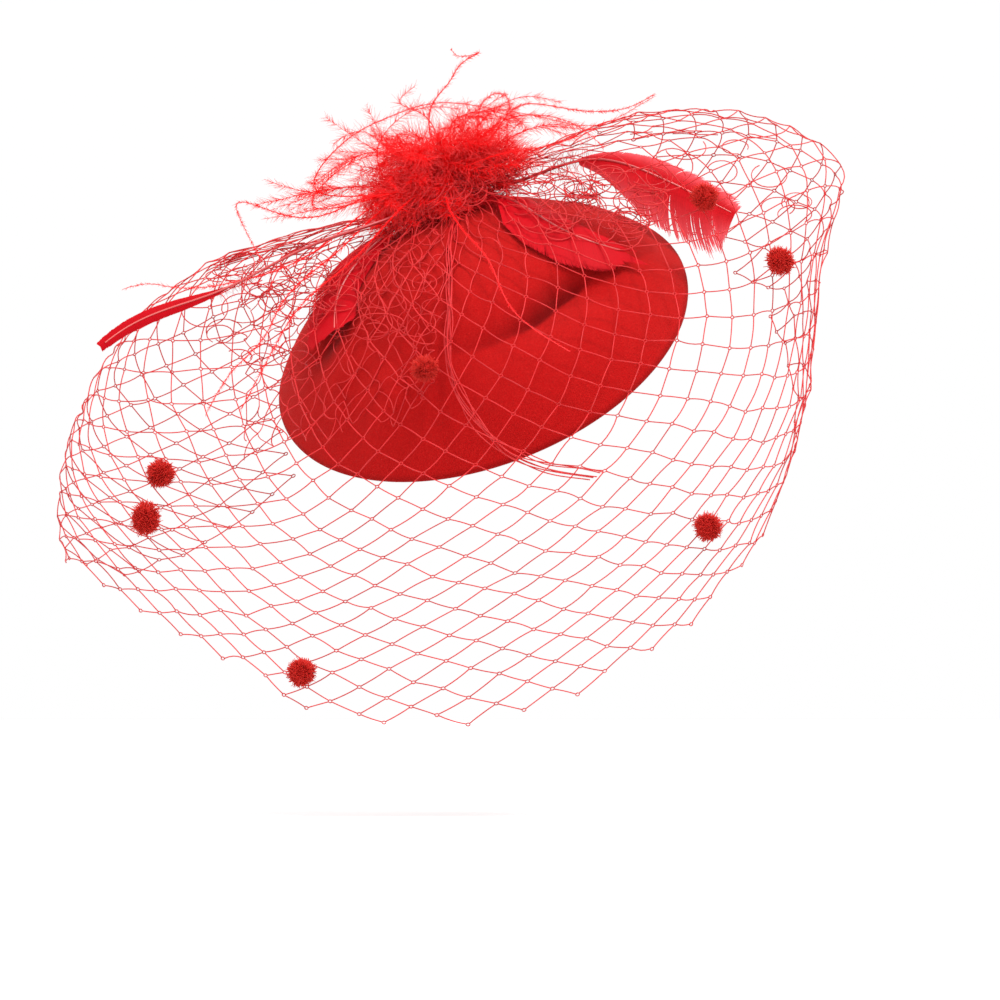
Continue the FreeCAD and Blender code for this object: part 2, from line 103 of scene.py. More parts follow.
OUT = unit(-np.array(MOUNTS["head_rim"]["axis"]))
ACROSS = unit([OUT[2], 0, -OUT[0]])
BACK = np.cross(OUT, ACROSS)
CAP_CENTRE = OUT * (CROWN_H - CAP_R)
FOOT = ACROSS * TRIM_X + BACK * TRIM_Y + OUT * (
    CROWN_H - CAP_R + math.sqrt(CAP_R ** 2 - TRIM_X ** 2 - TRIM_Y ** 2))
UP = unit(FOOT - CAP_CENTRE)
RIGHT = unit(np.array([1.0, 0, 0]) - UP * UP[0])
REAR = np.cross(UP, RIGHT)
ROOT = FOOT + UP * STEMS_UP
LOW_ROOT = FOOT + UP * LOW_STEMS_UP
LOCAL_AXES = np.stack([ACROSS, BACK, OUT])


# --------------------------------------------------------------------------
# Mesh helpers
# --------------------------------------------------------------------------

def cubic(x, y, q):
    """Natural cubic spline through the values y at x, read at q."""
    x, y, q = np.asarray(x, float), np.asarray(y, float), np.asarray(q, float)
    n, h = len(x), np.diff(x)
    a, b = np.zeros((n, n)), np.zeros(y.shape)
    a[0, 0] = a[-1, -1] = 1
    for i in range(1, n - 1):
        a[i, i - 1], a[i, i], a[i, i + 1] = h[i - 1], 2 * (h[i - 1] + h[i]), h[i]
        b[i] = 6 * ((y[i + 1] - y[i]) / h[i] - (y[i] - y[i - 1]) / h[i - 1])
    m = np.linalg.solve(a, b.reshape(n, -1)).reshape(y.shape)
    k = np.clip(np.searchsorted(x, q) - 1, 0, n - 2)
    shape = (-1,) + (1,) * (y.ndim - 1)
    d, w = (q - x[k]).reshape(shape), h[k].reshape(shape)
    return ((m[k] * (w - d) ** 3 + m[k + 1] * d ** 3) / (6 * w)
            + (y[k] / w - m[k] * w / 6) * (w - d) + (y[k + 1] / w - m[k + 1] * w / 6) * d)


def travel(line):
    """How far along a line each of its points is."""
    return np.concatenate([[0.0], np.cumsum(np.linalg.norm(np.diff(line, axis=0), axis=1))])


def evenly(line, count):
    """Evenly spaced places on the straight pieces of a line."""
    s = travel(line)
    q = np.linspace(0, s[-1], count)
    return np.stack([np.interp(q, s, column) for column in line.T], axis=1)


def smooth(points, count):
    """Evenly spaced places on a smooth line through the points."""
    p = np.asarray(points, float)
    x = travel(p)
    return evenly(cubic(x, p, np.linspace(0, x[-1], 8 * count)), count)


def between(line, at):
    """The places at fractional indices of a line, and the whole index below each."""
    i = np.minimum(at.astype(int), len(line) - 2)
    w = (at - i)[:, None]
    return line[i] * (1 - w) + line[i + 1] * w, i


def clear_of_crown(points, gap):
    """The points, with those nearer the crown than the gap lifted away from it."""
    off = points - CAP_CENTRE
    return CAP_CENTRE + unit(off) * np.maximum(np.linalg.norm(off, axis=-1, keepdims=True), CAP_R + gap)


def tangents(paths, closed=False):
    """Which way each path runs at each of its points."""
    if closed:
        t = np.roll(paths, -1, axis=-2) - np.roll(paths, 1, axis=-2)
    else:
        t = np.gradient(paths, axis=-2)
    return unit(t)


def ring_faces(rows, turn):
    """Vertex indices of stacked rings, and the four-sided faces between them."""
    index = np.arange(rows * turn).reshape(rows, turn)
    a, b = index[:-1], index[1:]
    return index, np.stack([a, b, np.roll(b, -1, 1), np.roll(a, -1, 1)], axis=-1).reshape(-1, 4)


def add_object(name, data):
    """A new object that is part of the scene."""
    obj = bpy.data.objects.new(name, data)
    bpy.context.scene.collection.objects.link(obj)
    return obj


def mesh_object(name, verts, parts, uvs, materials, smooth_faces=True):
    """One object from vertices in mm and arrays of like polygons, each with its slot."""
    mesh = bpy.data.meshes.new(name)
    verts = np.asarray(verts, float) * MM
    total = np.concatenate([np.full(len(faces), faces.shape[1], np.int32) for faces, _ in parts])
    loops = np.concatenate([faces.reshape(-1) for faces, _ in parts]).astype(np.int32)
    slots = np.concatenate([np.full(len(faces), slot, np.int32) for faces, slot in parts])
    first = np.concatenate([[0], np.cumsum(total)[:-1]]).astype(np.int32)
    mesh.vertices.add(len(verts))
    mesh.vertices.foreach_set("co", verts.reshape(-1))
    mesh.loops.add(len(loops))
    mesh.loops.foreach_set("vertex_index", loops)
    mesh.polygons.add(len(total))
    mesh.polygons.foreach_set("loop_start", first)
    mesh.polygons.foreach_set("material_index", slots)
    mesh.polygons.foreach_set("use_smooth", smooth_faces | (slots > 0))
    if uvs is not None:
        layer = mesh.uv_layers.new(name="OFBake")
        layer.data.foreach_set("uv", uvs.reshape(-1))
    mesh.update(calc_edges=True)
    mesh.validate()
    for finish in materials:
        mesh.materials.append(finish)
    return add_object(name, mesh)


GOLDEN = 0.6180339887
COLUMN_WIDTH = 0.012


class Threads:
    """Collects tubes of a few sides into one mesh. Each tube has its own column
    in the UV map, with V from its root to its tip."""

    def __init__(self):
        self.verts, self.parts, self.uvs = [], [], []
        self.count = self.strands = 0

    def add(self, paths, radius, sides=3, flat=1.0, up=None, closed=False, slot=0):
        paths = np.asarray(paths, float)
        if paths.ndim == 2:
            paths = paths[None]
        m, n, _ = paths.shape
        t = tangents(paths, closed)
        if up is None:
            up = np.array([[0.31, 0.52, 0.8]])
            lined_up = np.abs((t[:, 0] * up).sum(1, keepdims=True)) > 0.9
            up = np.where(lined_up, np.array([0.8, -0.6, 0.1]), up)
        s = np.broadcast_to(np.asarray(up, float), (m, 3)).copy()
        side = np.empty_like(paths)
        for k in range(n):
            s = unit(s - t[:, k] * (s * t[:, k]).sum(1, keepdims=True))
            side[:, k] = s
        other = np.cross(t, side)
        angle = 2 * math.pi * np.arange(sides) / sides
        r = np.broadcast_to(np.asarray(radius, float), (m, n))[:, :, None, None]
        ring = paths[:, :, None] + r * (np.cos(angle)[:, None] * side[:, :, None]
                                        + flat * np.sin(angle)[:, None] * other[:, :, None])
        index = self.count + np.arange(m * n * sides).reshape(m, n, sides)
        last = n if closed else n - 1
        a = index[:, np.arange(last)]
        b = index[:, (np.arange(last) + 1) % n]
        quads = np.stack([a, np.roll(a, -1, 2), np.roll(b, -1, 2), b], axis=-1)
        column = ((self.strands + np.arange(m)) * GOLDEN) % 1.0 * 0.98
        u = column[:, None, None] + np.arange(sides + 1)[None, None] * (COLUMN_WIDTH / sides)
        u = np.broadcast_to(u, (m, last, sides + 1))
        v0 = np.broadcast_to((np.arange(last) / last)[None, :, None], (m, last, sides))
        v1 = v0 + 1.0 / last
        uv = np.stack([np.stack([u[..., :-1], v0], -1), np.stack([u[..., 1:], v0], -1),
                       np.stack([u[..., 1:], v1], -1), np.stack([u[..., :-1], v1], -1)], axis=-2)
        self.parts.append((quads.reshape(-1, 4), slot))
        self.uvs.append(uv.reshape(-1, 2))
        if not closed:
            for place, order, v in ((0, slice(None, None, -1), 0.0), (n - 1, slice(None), 1.0)):
                cap = index[:, place, order]
                self.parts.append((cap, slot))
                uv = np.stack([np.broadcast_to(column[:, None] + COLUMN_WIDTH / 2, cap.shape),
                               np.full(cap.shape, v)], axis=-1)
                self.uvs.append(uv.reshape(-1, 2))
        self.verts.append(ring.reshape(-1, 3))
        self.count += m * n * sides
        self.strands += m

    def build(self, name, *materials, smooth_faces=True):
        return mesh_object(name, np.concatenate(self.verts), self.parts,
                           np.concatenate(self.uvs), materials, smooth_faces)


def bowed(starts, directions, lengths, bend, count, curl=1.0):
    """Hairs that leave along a direction and turn towards another as they go."""
    s = np.linspace(0, 1, count)[None, :, None]
    lengths = np.asarray(lengths, float).reshape(-1, 1, 1)
    return (starts[:, None] + directions[:, None] * (s * lengths)
            + bend[:, None] * (s ** (1 + curl) * lengths))


def finish_piece(obj, slot, *nodes):
    """Hides the nodes a piece stands for and puts the piece in the headpiece body; its slot is not used."""
    if nodes:
        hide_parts(*nodes)
    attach(obj, "headpiece")
    return obj


# --------------------------------------------------------------------------
# Materials
# --------------------------------------------------------------------------

def linear(r, g, b):
    """Scene-linear colour of an 8-bit colour."""
    def one(c):
        c /= 255.0
        return c / 12.92 if c <= 0.04045 else ((c + 0.055) / 1.055) ** 2.4
    return one(r), one(g), one(b), 1.0


def new_group(name, inputs, outputs):
    """A node group whose inputs are colours or numbers, by their default values."""
    group = bpy.data.node_groups.new(name, "ShaderNodeTree")
    for label, value in inputs.items():
        kind = "NodeSocketFloat" if isinstance(value, float) else "NodeSocketColor"
        group.interface.new_socket(label, in_out="INPUT", socket_type=kind).default_value = value
    for label in outputs:
        kind = "NodeSocketColor" if label == "Colour" else "NodeSocketFloat"
        group.interface.new_socket(label, in_out="OUTPUT", socket_type=kind)
    return group, group.nodes.new("NodeGroupInput").outputs, group.nodes.new("NodeGroupOutput").inputs


def node(tree, kind, settings=None, **values):
    """A shader node with its settings and its inputs' values; _ stands for a space."""
    made = tree.nodes.new(kind)
    for key, value in (settings or {}).items():
        setattr(made, key, value)
    for key, value in values.items():
        made.inputs[key.replace("_", " ")].default_value = value
    return made


def feed(tree, *pairs):
    """Gives each target socket its source, a socket or a plain value."""
    for source, target in pairs:
        if hasattr(source, "links"):
            tree.links.new(source, target)
        else:
            target.default_value = source


def mix_colour(tree, factor, a, b):
    """A colour mix; factor, a and b are sockets or values."""
    made = node(tree, "ShaderNodeMix", {"data_type": "RGBA"})
    feed(tree, (factor, made.inputs[0]), (a, made.inputs[6]), (b, made.inputs[7]))
    return made.outputs[2]


def maths(tree, operation, a, b=0.0):
    """One step of arithmetic; a and b are sockets or values."""
    made = node(tree, "ShaderNodeMath", {"operation": operation})
    feed(tree, (a, made.inputs[0]), (b, made.inputs[1]))
    return made.outputs[0]


def times(tree, a, b):
    return maths(tree, "MULTIPLY", a, b)


def plus(tree, a, b):
    return maths(tree, "ADD", a, b)


def felt_group():
    """Wool felt: mottled dye, matted fibres, a soft uneven nap, and painted shade read from a mesh attribute.
    """
    group, given, made = new_group("Felt nap", {
        "Colour": (0.6, 0.02, 0.02, 1), "Dark": (0.4, 0.01, 0.01, 1), "Light": (0.8, 0.08, 0.07, 1),
        "Fibre Scale": 900.0, "Painted Shade": (0.2, 0.005, 0.005, 1)}, ("Colour", "Roughness", "Height"))
    place = group.nodes.new("ShaderNodeTexCoord").outputs["Object"]
    cloud = node(group, "ShaderNodeTexNoise", Scale=34.0, Detail=4.0, Roughness=0.6)
    warp = node(group, "ShaderNodeTexNoise", Scale=260.0, Detail=2.0)
    fibre = node(group, "ShaderNodeTexNoise", Detail=6.0, Roughness=0.75, Distortion=1.6)
    streak = node(group, "ShaderNodeTexWave", {"wave_type": "BANDS", "bands_direction": "DIAGONAL"},
                  Scale=420.0, Distortion=14.0, Detail=4.0, Detail_Scale=3.0)
    feed(group, *((place, texture.inputs["Vector"]) for texture in (cloud, warp, fibre, streak)),
         (given["Fibre Scale"], fibre.inputs["Scale"]))
    cloud, warp, fibre, streak = (texture.outputs["Fac"] for texture in (cloud, warp, fibre, streak))
    speck = maths(group, "POWER", times(group, fibre, streak), 2.2)
    mottled = mix_colour(group, times(group, cloud, 0.55), given["Dark"], given["Colour"])
    base = mix_colour(group, 0.62, mottled, given["Colour"])
    lit = mix_colour(group, times(group, speck, 0.75), base, given["Light"])
    # Painted shade: a mesh attribute mixes a dark colour into the felt where shade falls in the crease, the
    # dent and at the rim's edge
    painted_shade = node(group, "ShaderNodeAttribute", {"attribute_name": "painted_shade"}).outputs["Fac"]
    relief = plus(group, times(group, warp, 0.45), times(group, streak, 0.18))
    feed(group, (mix_colour(group, painted_shade, lit, given["Painted Shade"]), made["Colour"]),
         (plus(group, 0.78, times(group, warp, 0.2)), made["Roughness"]),
         (plus(group, times(group, fibre, 0.6), relief), made["Height"]))
    return group


def strand_group():
    """Fibres that differ from one to the next and lighten towards their tips."""
    group, given, made = new_group("Strand dye", {
        "Colour": (0.6, 0.02, 0.02, 1), "Dark": (0.35, 0.01, 0.01, 1), "Tip": (0.8, 0.1, 0.1, 1),
        "Tip Amount": 0.5, "Patch Scale": 90.0, "Ply": 60.0}, ("Colour", "Height"))
    uv = node(group, "ShaderNodeUVMap", {"uv_map": "OFBake"})
    split = group.nodes.new("ShaderNodeSeparateXYZ")
    each = node(group, "ShaderNodeTexWhiteNoise", {"noise_dimensions": "1D"})
    patch = node(group, "ShaderNodeTexNoise", Detail=3.0, Roughness=0.6)
    place = group.nodes.new("ShaderNodeTexCoord").outputs["Object"]
    column = maths(group, "FLOOR", times(group, split.outputs["X"], 90.0))
    feed(group, (uv.outputs["UV"], split.inputs["Vector"]), (column, each.inputs["W"]),
         (place, patch.inputs["Vector"]), (given["Patch Scale"], patch.inputs["Scale"]))
    patch, along = patch.outputs["Fac"], split.outputs["Y"]
    dark = times(group, maths(group, "POWER", each.outputs["Value"], 1.6), 0.8)
    dyed = mix_colour(group, dark, given["Colour"], given["Dark"])
    clouded = mix_colour(group, times(group, patch, 0.5), dyed, given["Colour"])
    towards = times(group, maths(group, "POWER", along, 2.0), given["Tip Amount"])
    turns = maths(group, "SINE", times(group, along, given["Ply"]))
    feed(group, (mix_colour(group, towards, clouded, given["Tip"]), made["Colour"]),
         (plus(group, patch, times(group, turns, 0.3)), made["Height"]))
    return group


def metal_group():
    """Pressed metal: fine brushed lines, dull patches and small pits."""
    group, given, made = new_group("Stamped metal", {
        "Colour": (0.6, 0.6, 0.6, 1), "Worn": (0.3, 0.3, 0.3, 1), "Line Scale": 2400.0},
        ("Colour", "Roughness", "Height"))
    place = group.nodes.new("ShaderNodeTexCoord").outputs["Object"]
    stretch = node(group, "ShaderNodeMapping", Scale=(0.06, 1.0, 1.0))
    lines = node(group, "ShaderNodeTexNoise", Detail=3.0)
    dull = node(group, "ShaderNodeTexNoise", Scale=210.0, Detail=5.0, Roughness=0.65)
    pits = node(group, "ShaderNodeTexVoronoi", Scale=900.0)
    feed(group, *((place, part.inputs["Vector"]) for part in (stretch, dull, pits)),
         (stretch.outputs["Vector"], lines.inputs["Vector"]), (given["Line Scale"], lines.inputs["Scale"]))
    lines, dull, pits = lines.outputs["Fac"], dull.outputs["Fac"], pits.outputs["Distance"]
    worn = times(group, maths(group, "POWER", dull, 2.0), 1.4)
    rough = plus(group, times(group, lines, 0.16), times(group, dull, 0.22))
    feed(group, (mix_colour(group, worn, given["Colour"], given["Worn"]), made["Colour"]),
         (plus(group, 0.2, rough), made["Roughness"]),
         (plus(group, times(group, lines, 0.5), times(group, pits, 0.3)), made["Height"]))
    return group


def material(name, group, values, bump, constants):
    """Principled material fed by a shared group. Its values go to the group, the
    bump is its strength and depth, and its constants are set on the shader."""
    made = bpy.data.materials.new(name)
    made.use_nodes = True
    tree = made.node_tree
    shader = tree.nodes["Principled BSDF"]
    effect = tree.nodes.new("ShaderNodeGroup")
    effect.node_tree = group
    for key, value in values.items():
        effect.inputs[key].default_value = value
    relief = node(tree, "ShaderNodeBump", Strength=bump[0], Distance=bump[1])
    feed(tree, (effect.outputs["Colour"], shader.inputs["Base Color"]),
         (effect.outputs["Height"], relief.inputs["Height"]),
         (relief.outputs["Normal"], shader.inputs["Normal"]))
    if "Roughness" in effect.outputs:
        feed(tree, (effect.outputs["Roughness"], shader.inputs["Roughness"]))
    for key, value in constants.items():
        shader.inputs[key].default_value = value
    return made


def strand_material(name, strand, dye, bump, rough, shine, **extra):
    """A dyed strand: its colour, the darkest of its kind, and its tip's colour, each
    an 8-bit colour or a dye from the settings."""
    values = {key: linear(*colour) if len(colour) == 3 else colour
              for key, colour in zip(("Colour", "Dark", "Tip"), dye)}
    values.update({key.replace("_", " "): value for key, value in extra.items()})
    return material(name, strand, values, bump, {"Roughness": rough, "Specular IOR Level": shine})


def make_materials(dyes):
    felt, strand, metal = felt_group(), strand_group(), metal_group()
    cloth = {"Sheen Weight": 0.12, "Sheen Roughness": 0.45, "Sheen Tint": (1.0, 0.22, 0.18, 1),
             "Specular IOR Level": 0.05}
    pile = {"Roughness": 0.62, "Specular IOR Level": 0.2, "Sheen Weight": 0.1, "Sheen Roughness": 0.4,
            "Sheen Tint": (1.0, 0.35, 0.3, 1)}
    return {
        "felt": material("Red wool felt", felt, {
            "Colour": dyes.felt, "Dark": linear(138, 7, 9), "Light": linear(206, 48, 42),
            # The last colour is painted shade for the crease, the dent and the rim's edge
            "Painted Shade": linear(86, 3, 5)}, (0.75, 0.0006), cloth),
        "backing_felt": material("Backing felt", felt, {
            "Colour": linear(164, 13, 16), "Dark": linear(124, 7, 9), "Light": linear(196, 44, 42),
            "Fibre Scale": 700.0}, (0.8, 0.0005), cloth),
        "chenille": material("Chenille pile", strand, {
            "Colour": dyes.chenille, "Dark": linear(138, 6, 6), "Tip": linear(214, 40, 26),
            "Tip Amount": 0.6, "Patch Scale": 400.0}, (0.2, 0.0001), pile),
        "nap": strand_material(
            "Felt nap hairs", strand, ((176, 20, 20), (146, 10, 12), (210, 60, 52)),
            (0.1, 0.0001), 0.8, 0.15),
        "net": strand_material(
            "Veiling thread", strand, (dyes.veiling, (152, 16, 22), (216, 58, 54)),
            (0.35, 0.00015), 0.5, 0.25, Tip_Amount=0.3, Patch_Scale=60.0),
        "thread": strand_material(
            "Binding thread", strand, ((168, 16, 20), (128, 8, 12), (180, 30, 32)),
            (0.6, 0.0002), 0.55, 0.3, Patch_Scale=300.0, Ply=400.0),
        "vane": strand_material(
            "Goose feather barbs", strand, (dyes.feathers, (150, 5, 15), (186, 14, 26)),
            (0.15, 0.0001), 0.5, 0.04, Patch_Scale=45.0),
        "sheer_vane": strand_material(
            "Sheer goose feather barbs", strand, ((184, 8, 20), (160, 7, 16), (234, 96, 104)),
            (0.15, 0.0001), 0.5, 0.06, Tip_Amount=0.75, Patch_Scale=45.0),
        "rachis": strand_material(
            "Feather quill", strand, ((170, 30, 36), (130, 14, 22), (222, 110, 104)),
            (0.2, 0.0002), 0.3, 0.5, Tip_Amount=0.7, Patch_Scale=200.0),
        "fluff": strand_material(
            "Ostrich and marabou barbs", strand, (dyes.plumes, (228, 6, 10), (252, 92, 94)),
            (0.1, 0.0001), 0.65, 0.04, Tip_Amount=0.75, Patch_Scale=70.0),
        "clip_metal": material(
            "Nickel plated clip", metal, {"Colour": linear(168, 168, 172), "Worn": linear(112, 110, 108)},
            (0.15, 0.0001), {"Metallic": 1.0}),
        "spring_steel": material(
            "Blued spring steel", metal, {"Colour": linear(150, 152, 160), "Worn": linear(88, 86, 92)},
            (0.25, 0.0001), {"Metallic": 1.0}),
    }


MATERIALS = {}


def mat(name):
    """A material by its short name. All are made when the first is asked for."""
    if not MATERIALS:
        MATERIALS.update(make_materials(bpy.context.scene.fascinator_dyes))
    return MATERIALS[name]


def dress(node_name, material_name):
    """Gives a carried-over CAD node its procedural material."""
    materials = NODES[node_name].data.materials
    if not materials:
        materials.append(mat(material_name))
    for k in range(len(materials)):
        materials[k] = mat(material_name)


# --------------------------------------------------------------------------
# Felt crown
# --------------------------------------------------------------------------

# Crease pressed into the crown: bearing in degrees, radius and depth along its line
CREASE_BEARING = [-135, -112, -95, -76, -63, -45, -34, -26, -18]
CREASE_RADIUS = [42, 42, 43, 43, 43.7, 43.8, 46.5, 49, 52]
CREASE_DEPTH = [0, 0.8, 1.8, 3.6, 6.2, 7.8, 7.0, 2.8, 0]
CREASE_INNER, CREASE_OUTER = 4.6, 8.5
DENT_AT, DENT_DEPTH = (-52, 1), 2.6
# Centre of the painted shade in the dent
DENT_SHADE_AT = (-51, 1)
SWELL_AT, SWELL_RISE = (-30, -44), 1.3
RIM_CALM = 14.0
SHELL_TURN, OUTSIDE_RINGS, RIM_RINGS, INSIDE_RINGS = 300, 110, 9, 70


def crease_at(x, y):
    """The crease's depth at a place's bearing, and how far outside its line that is."""
    bearing = np.degrees(np.arctan2(y, x))
    depth = np.interp(bearing, CREASE_BEARING, CREASE_DEPTH)
    return depth, np.hypot(x, y) - np.interp(bearing, CREASE_BEARING, CREASE_RADIUS)


def crown_shift(x, y):
    """How far the felt is pressed in, and its soft hand-blocked unevenness."""
    depth, off = crease_at(x, y)
    inner = np.exp(-(np.abs(off) / CREASE_INNER) ** 1.15)
    outer = np.exp(-(np.maximum(off, 0) / CREASE_OUTER) ** 1.6)
    groove = depth * np.where(off < 0, inner, outer)
    dent = DENT_DEPTH * np.exp(-((x - DENT_AT[0]) ** 2 + (y - DENT_AT[1]) ** 2) / 50.0)
    swell = -SWELL_RISE * np.exp(-((x - SWELL_AT[0]) ** 2 / 330.0 + (y - SWELL_AT[1]) ** 2 / 90.0))
    uneven = 0.35 * np.sin(x * 0.09 + 1.3) * np.sin(y * 0.11 + 0.4) + 0.18 * np.sin(x * 0.23 - y * 0.19)
    fade = np.clip((RIM_R - np.hypot(x, y)) / RIM_CALM, 0, 1)
    return groove + (dent + swell) * fade + uneven * fade


def crease_shade(x, y, polar, reach):
    """Painted shade on the felt: darkening painted where shade falls in the crease, in the dent and along the
    rim's edge.
    """
    lip = 0.6
    depth, off = crease_at(x, y)
    deep = np.clip(depth / 6.6, 0, 1)
    inner = np.exp(-(np.maximum(lip - off, 0) / 4.5) ** 1.2)
    crease = 0.85 * deep * np.where(off < lip, inner, np.exp(-((off - lip) / 0.9) ** 2))
    dent = 0.5 * np.exp(-((x - DENT_SHADE_AT[0]) ** 2 + (y - DENT_SHADE_AT[1]) ** 2) / 16.0)
    # Painted shade along the rim's edge
    rim = 0.35 * np.clip((polar - 0.985 * reach) / (0.015 * reach), 0, 1)
    return np.clip(crease + dent + rim, 0, 1)


def crown_mesh():
    """The felt shell: rings down its outside, round its rim and up its inside."""
    half = FELT_T / 2
    middle_r = CAP_R - half
    reach = CAP_REACH - 0.006
    rows = [(a, half) for a in np.linspace(0.004, reach, OUTSIDE_RINGS)]
    rows += [(reach + half / middle_r * math.cos(e), half * math.sin(e))
             for e in np.linspace(math.pi / 2, -math.pi / 2, RIM_RINGS)[1:-1]]
    rows += [(a, -half) for a in np.linspace(reach, 0.006, INSIDE_RINGS)]
    polar, rise = (np.array(column)[:, None] for column in zip(*rows))
    phi = np.linspace(-math.pi, math.pi, SHELL_TURN, endpoint=False)[None]
    x0, y0 = CAP_R * np.sin(polar) * np.cos(phi), CAP_R * np.sin(polar) * np.sin(phi)
    edge = (0.25 * np.sin(3 * phi + 0.7) + 0.15 * np.sin(7 * phi)) * 0.3
    radius = middle_r + rise - crown_shift(x0, y0) + edge * np.clip((polar - 0.9 * reach) / 0.1, 0, 1)
    local = np.stack([radius * np.sin(polar) * np.cos(phi), radius * np.sin(polar) * np.sin(phi),
                      radius * np.cos(polar) + CROWN_H - CAP_R], axis=-1)
    index, faces = ring_faces(len(rows), SHELL_TURN)
    ends = np.stack([index[0], index[-1][::-1]])
    verts = (local @ LOCAL_AXES).reshape(-1, 3)
    obj = mesh_object("felt_crown_shell", verts, [(faces, 0), (ends, 0)], None, [mat("felt")])
    # Painted shade for the crease, the dent and the rim's edge, kept on the mesh for the felt's material
    layer = obj.data.attributes.new("painted_shade", "FLOAT", "POINT")
    shade = crease_shade(x0, y0, polar, reach)
    layer.data.foreach_set("value", shade.astype(np.float32).reshape(-1))
    return finish_piece(obj, "felt", "felt_crown")


NAP_TAPER = np.array([[0.022, 0.02, 0.016, 0.008]])


def crown_nap(count):
    """Short loose hairs that stand off the felt."""
    rng = np.random.default_rng(11)
    polar = np.arccos(1 - rng.random(count) * (1 - math.cos(CAP_REACH)))
    phi = rng.uniform(-math.pi, math.pi, count)
    way = np.stack([np.sin(polar) * np.cos(phi), np.sin(polar) * np.sin(phi), np.cos(polar)], -1)
    normal = way @ LOCAL_AXES
    sunk = crown_shift(CAP_R * way[:, 0], CAP_R * way[:, 1]) + 0.1
    start = CAP_CENTRE + normal * (CAP_R - sunk)[:, None]
    flat = unit(np.cross(normal, rng.normal(size=(count, 3))))
    leave = unit(flat + normal * rng.uniform(0.2, 1.0, (count, 1)))
    down = -normal * rng.uniform(0.1, 0.4, (count, 1))
    bend = down + np.cross(normal, flat) * rng.uniform(-0.5, 0.5, (count, 1))
    hairs = Threads()
    hairs.add(bowed(start, leave, rng.uniform(0.5, 1.3, count), bend, 4), NAP_TAPER, up=normal)
    return finish_piece(hairs.build("felt_crown_nap", mat("nap")), "felt")


# --------------------------------------------------------------------------
# Clip pad, trimming disc and clip stitches
# --------------------------------------------------------------------------

WELD_M, FELT_VOXEL_M = 0.00001, 0.0004
FELT_ROUGH, FELT_SINK = 0.09, 0.1


def felt_cut(name, node_name, hairs, seed):
    """A piece cut from thick felt: softened edges, an uneven face and loose hairs."""
    blank = add_object(name + "_blank", NODES[node_name].data.copy())
    blank.modifiers.new("weld", "WELD").merge_threshold = WELD_M
    block = blank.modifiers.new("block", "REMESH")
    block.mode, block.voxel_size = "VOXEL", FELT_VOXEL_M
    soften = blank.modifiers.new("soften", "SMOOTH")
    soften.factor, soften.iterations = 0.5, 4
    mesh = bpy.data.meshes.new_from_object(blank.evaluated_get(bpy.context.evaluated_depsgraph_get()))
    bpy.data.objects.remove(blank)
    places, normals = np.empty(len(mesh.vertices) * 3), np.empty(len(mesh.vertices) * 3)
    mesh.vertices.foreach_get("co", places)
    mesh.vertices.foreach_get("normal", normals)
    places, normals = places.reshape(-1, 3) / MM, normals.reshape(-1, 3)
    rough = np.array([noise.fractal(Vector(p) * 0.45, 0.8, 2.1, 4) for p in places])
    places = places + normals * (FELT_ROUGH * rough - FELT_SINK)[:, None]
    mesh.vertices.foreach_set("co", (places * MM).reshape(-1))
    mesh.polygons.foreach_set("use_smooth", np.ones(len(mesh.polygons), bool))
    mesh.materials.clear()
    mesh.materials.append(mat("backing_felt"))
    mesh.update()
    finish_piece(add_object(name, mesh), "backing_felt", node_name)
    rng = np.random.default_rng(seed)
    pick = rng.integers(0, len(places), hairs)
    flat = unit(np.cross(normals[pick], rng.normal(size=(hairs, 3))))
    leave = unit(flat + normals[pick] * rng.uniform(0.2, 1.0, (hairs, 1)))
    bend = flat * 0.2 - normals[pick] * 0.25
    nap = Threads()
    nap.add(bowed(places[pick], leave, rng.uniform(0.4, 1.1, hairs), bend, 4), NAP_TAPER, up=normals[pick])
    return finish_piece(nap.build(name + "_nap", mat("nap")), "backing_felt")


def clip_place(points):
    """Points in the clip's own axes, X along the clip and Z towards the felt."""
    polar, bearing = math.radians(CLIP_POLAR_DEG), math.radians(CLIP_AT_DEG)
    ring = np.array([math.cos(bearing), math.sin(bearing), 0])
    top = np.array([0, 0, 1.0])
    rise = math.sin(polar) * ring + math.cos(polar) * top
    along = math.cos(polar) * ring - math.sin(polar) * top
    origin = top * (CROWN_H - CAP_R) + rise * (CAP_R - FELT_T - PAD_GAP - PAD_T)
    return (origin + points @ np.stack([along, np.cross(rise, along), rise])) @ LOCAL_AXES


STITCHES_AT = (-15.0, -9.0, -3.0)
STITCH_HALF, STITCH_LOW, STITCH_TOP = 4.95, -0.98, 0.5
STITCH_POINTS, PLY_TURN = 181, 1.3
PLY_R, PLY_OFF = 0.135, 0.11


def stitches_mesh():
    """Stitches of twisted two-ply thread that pass over the clip's plate into the pad."""
    run = np.array([(-STITCH_HALF, STITCH_TOP), (-STITCH_HALF, STITCH_LOW), (STITCH_HALF, STITCH_LOW),
                    (STITCH_HALF, STITCH_TOP)])
    line = evenly(run, STITCH_POINTS)
    for _ in range(2):
        line[2:-2] = (line[:-4] + line[1:-3] + line[2:-2] + line[3:-1] + line[4:]) / 5
    twist = np.linspace(0, travel(run)[-1], STITCH_POINTS) * 2 * math.pi / PLY_TURN
    clip_way = np.array([1.0, 0, 0])
    thread = Threads()
    for x in STITCHES_AT:
        path = np.insert(line, 0, x, axis=1)
        across = np.cross(tangents(path), clip_way)
        for phase in (0.0, math.pi):
            swing = (twist + phase + x)[:, None]
            ply = path + PLY_OFF * (np.cos(swing) * clip_way + np.sin(swing) * across)
            thread.add(clip_place(ply), PLY_R, sides=6)
    return finish_piece(thread.build("clip_stitching", mat("thread")), "thread", "clip_stitches")


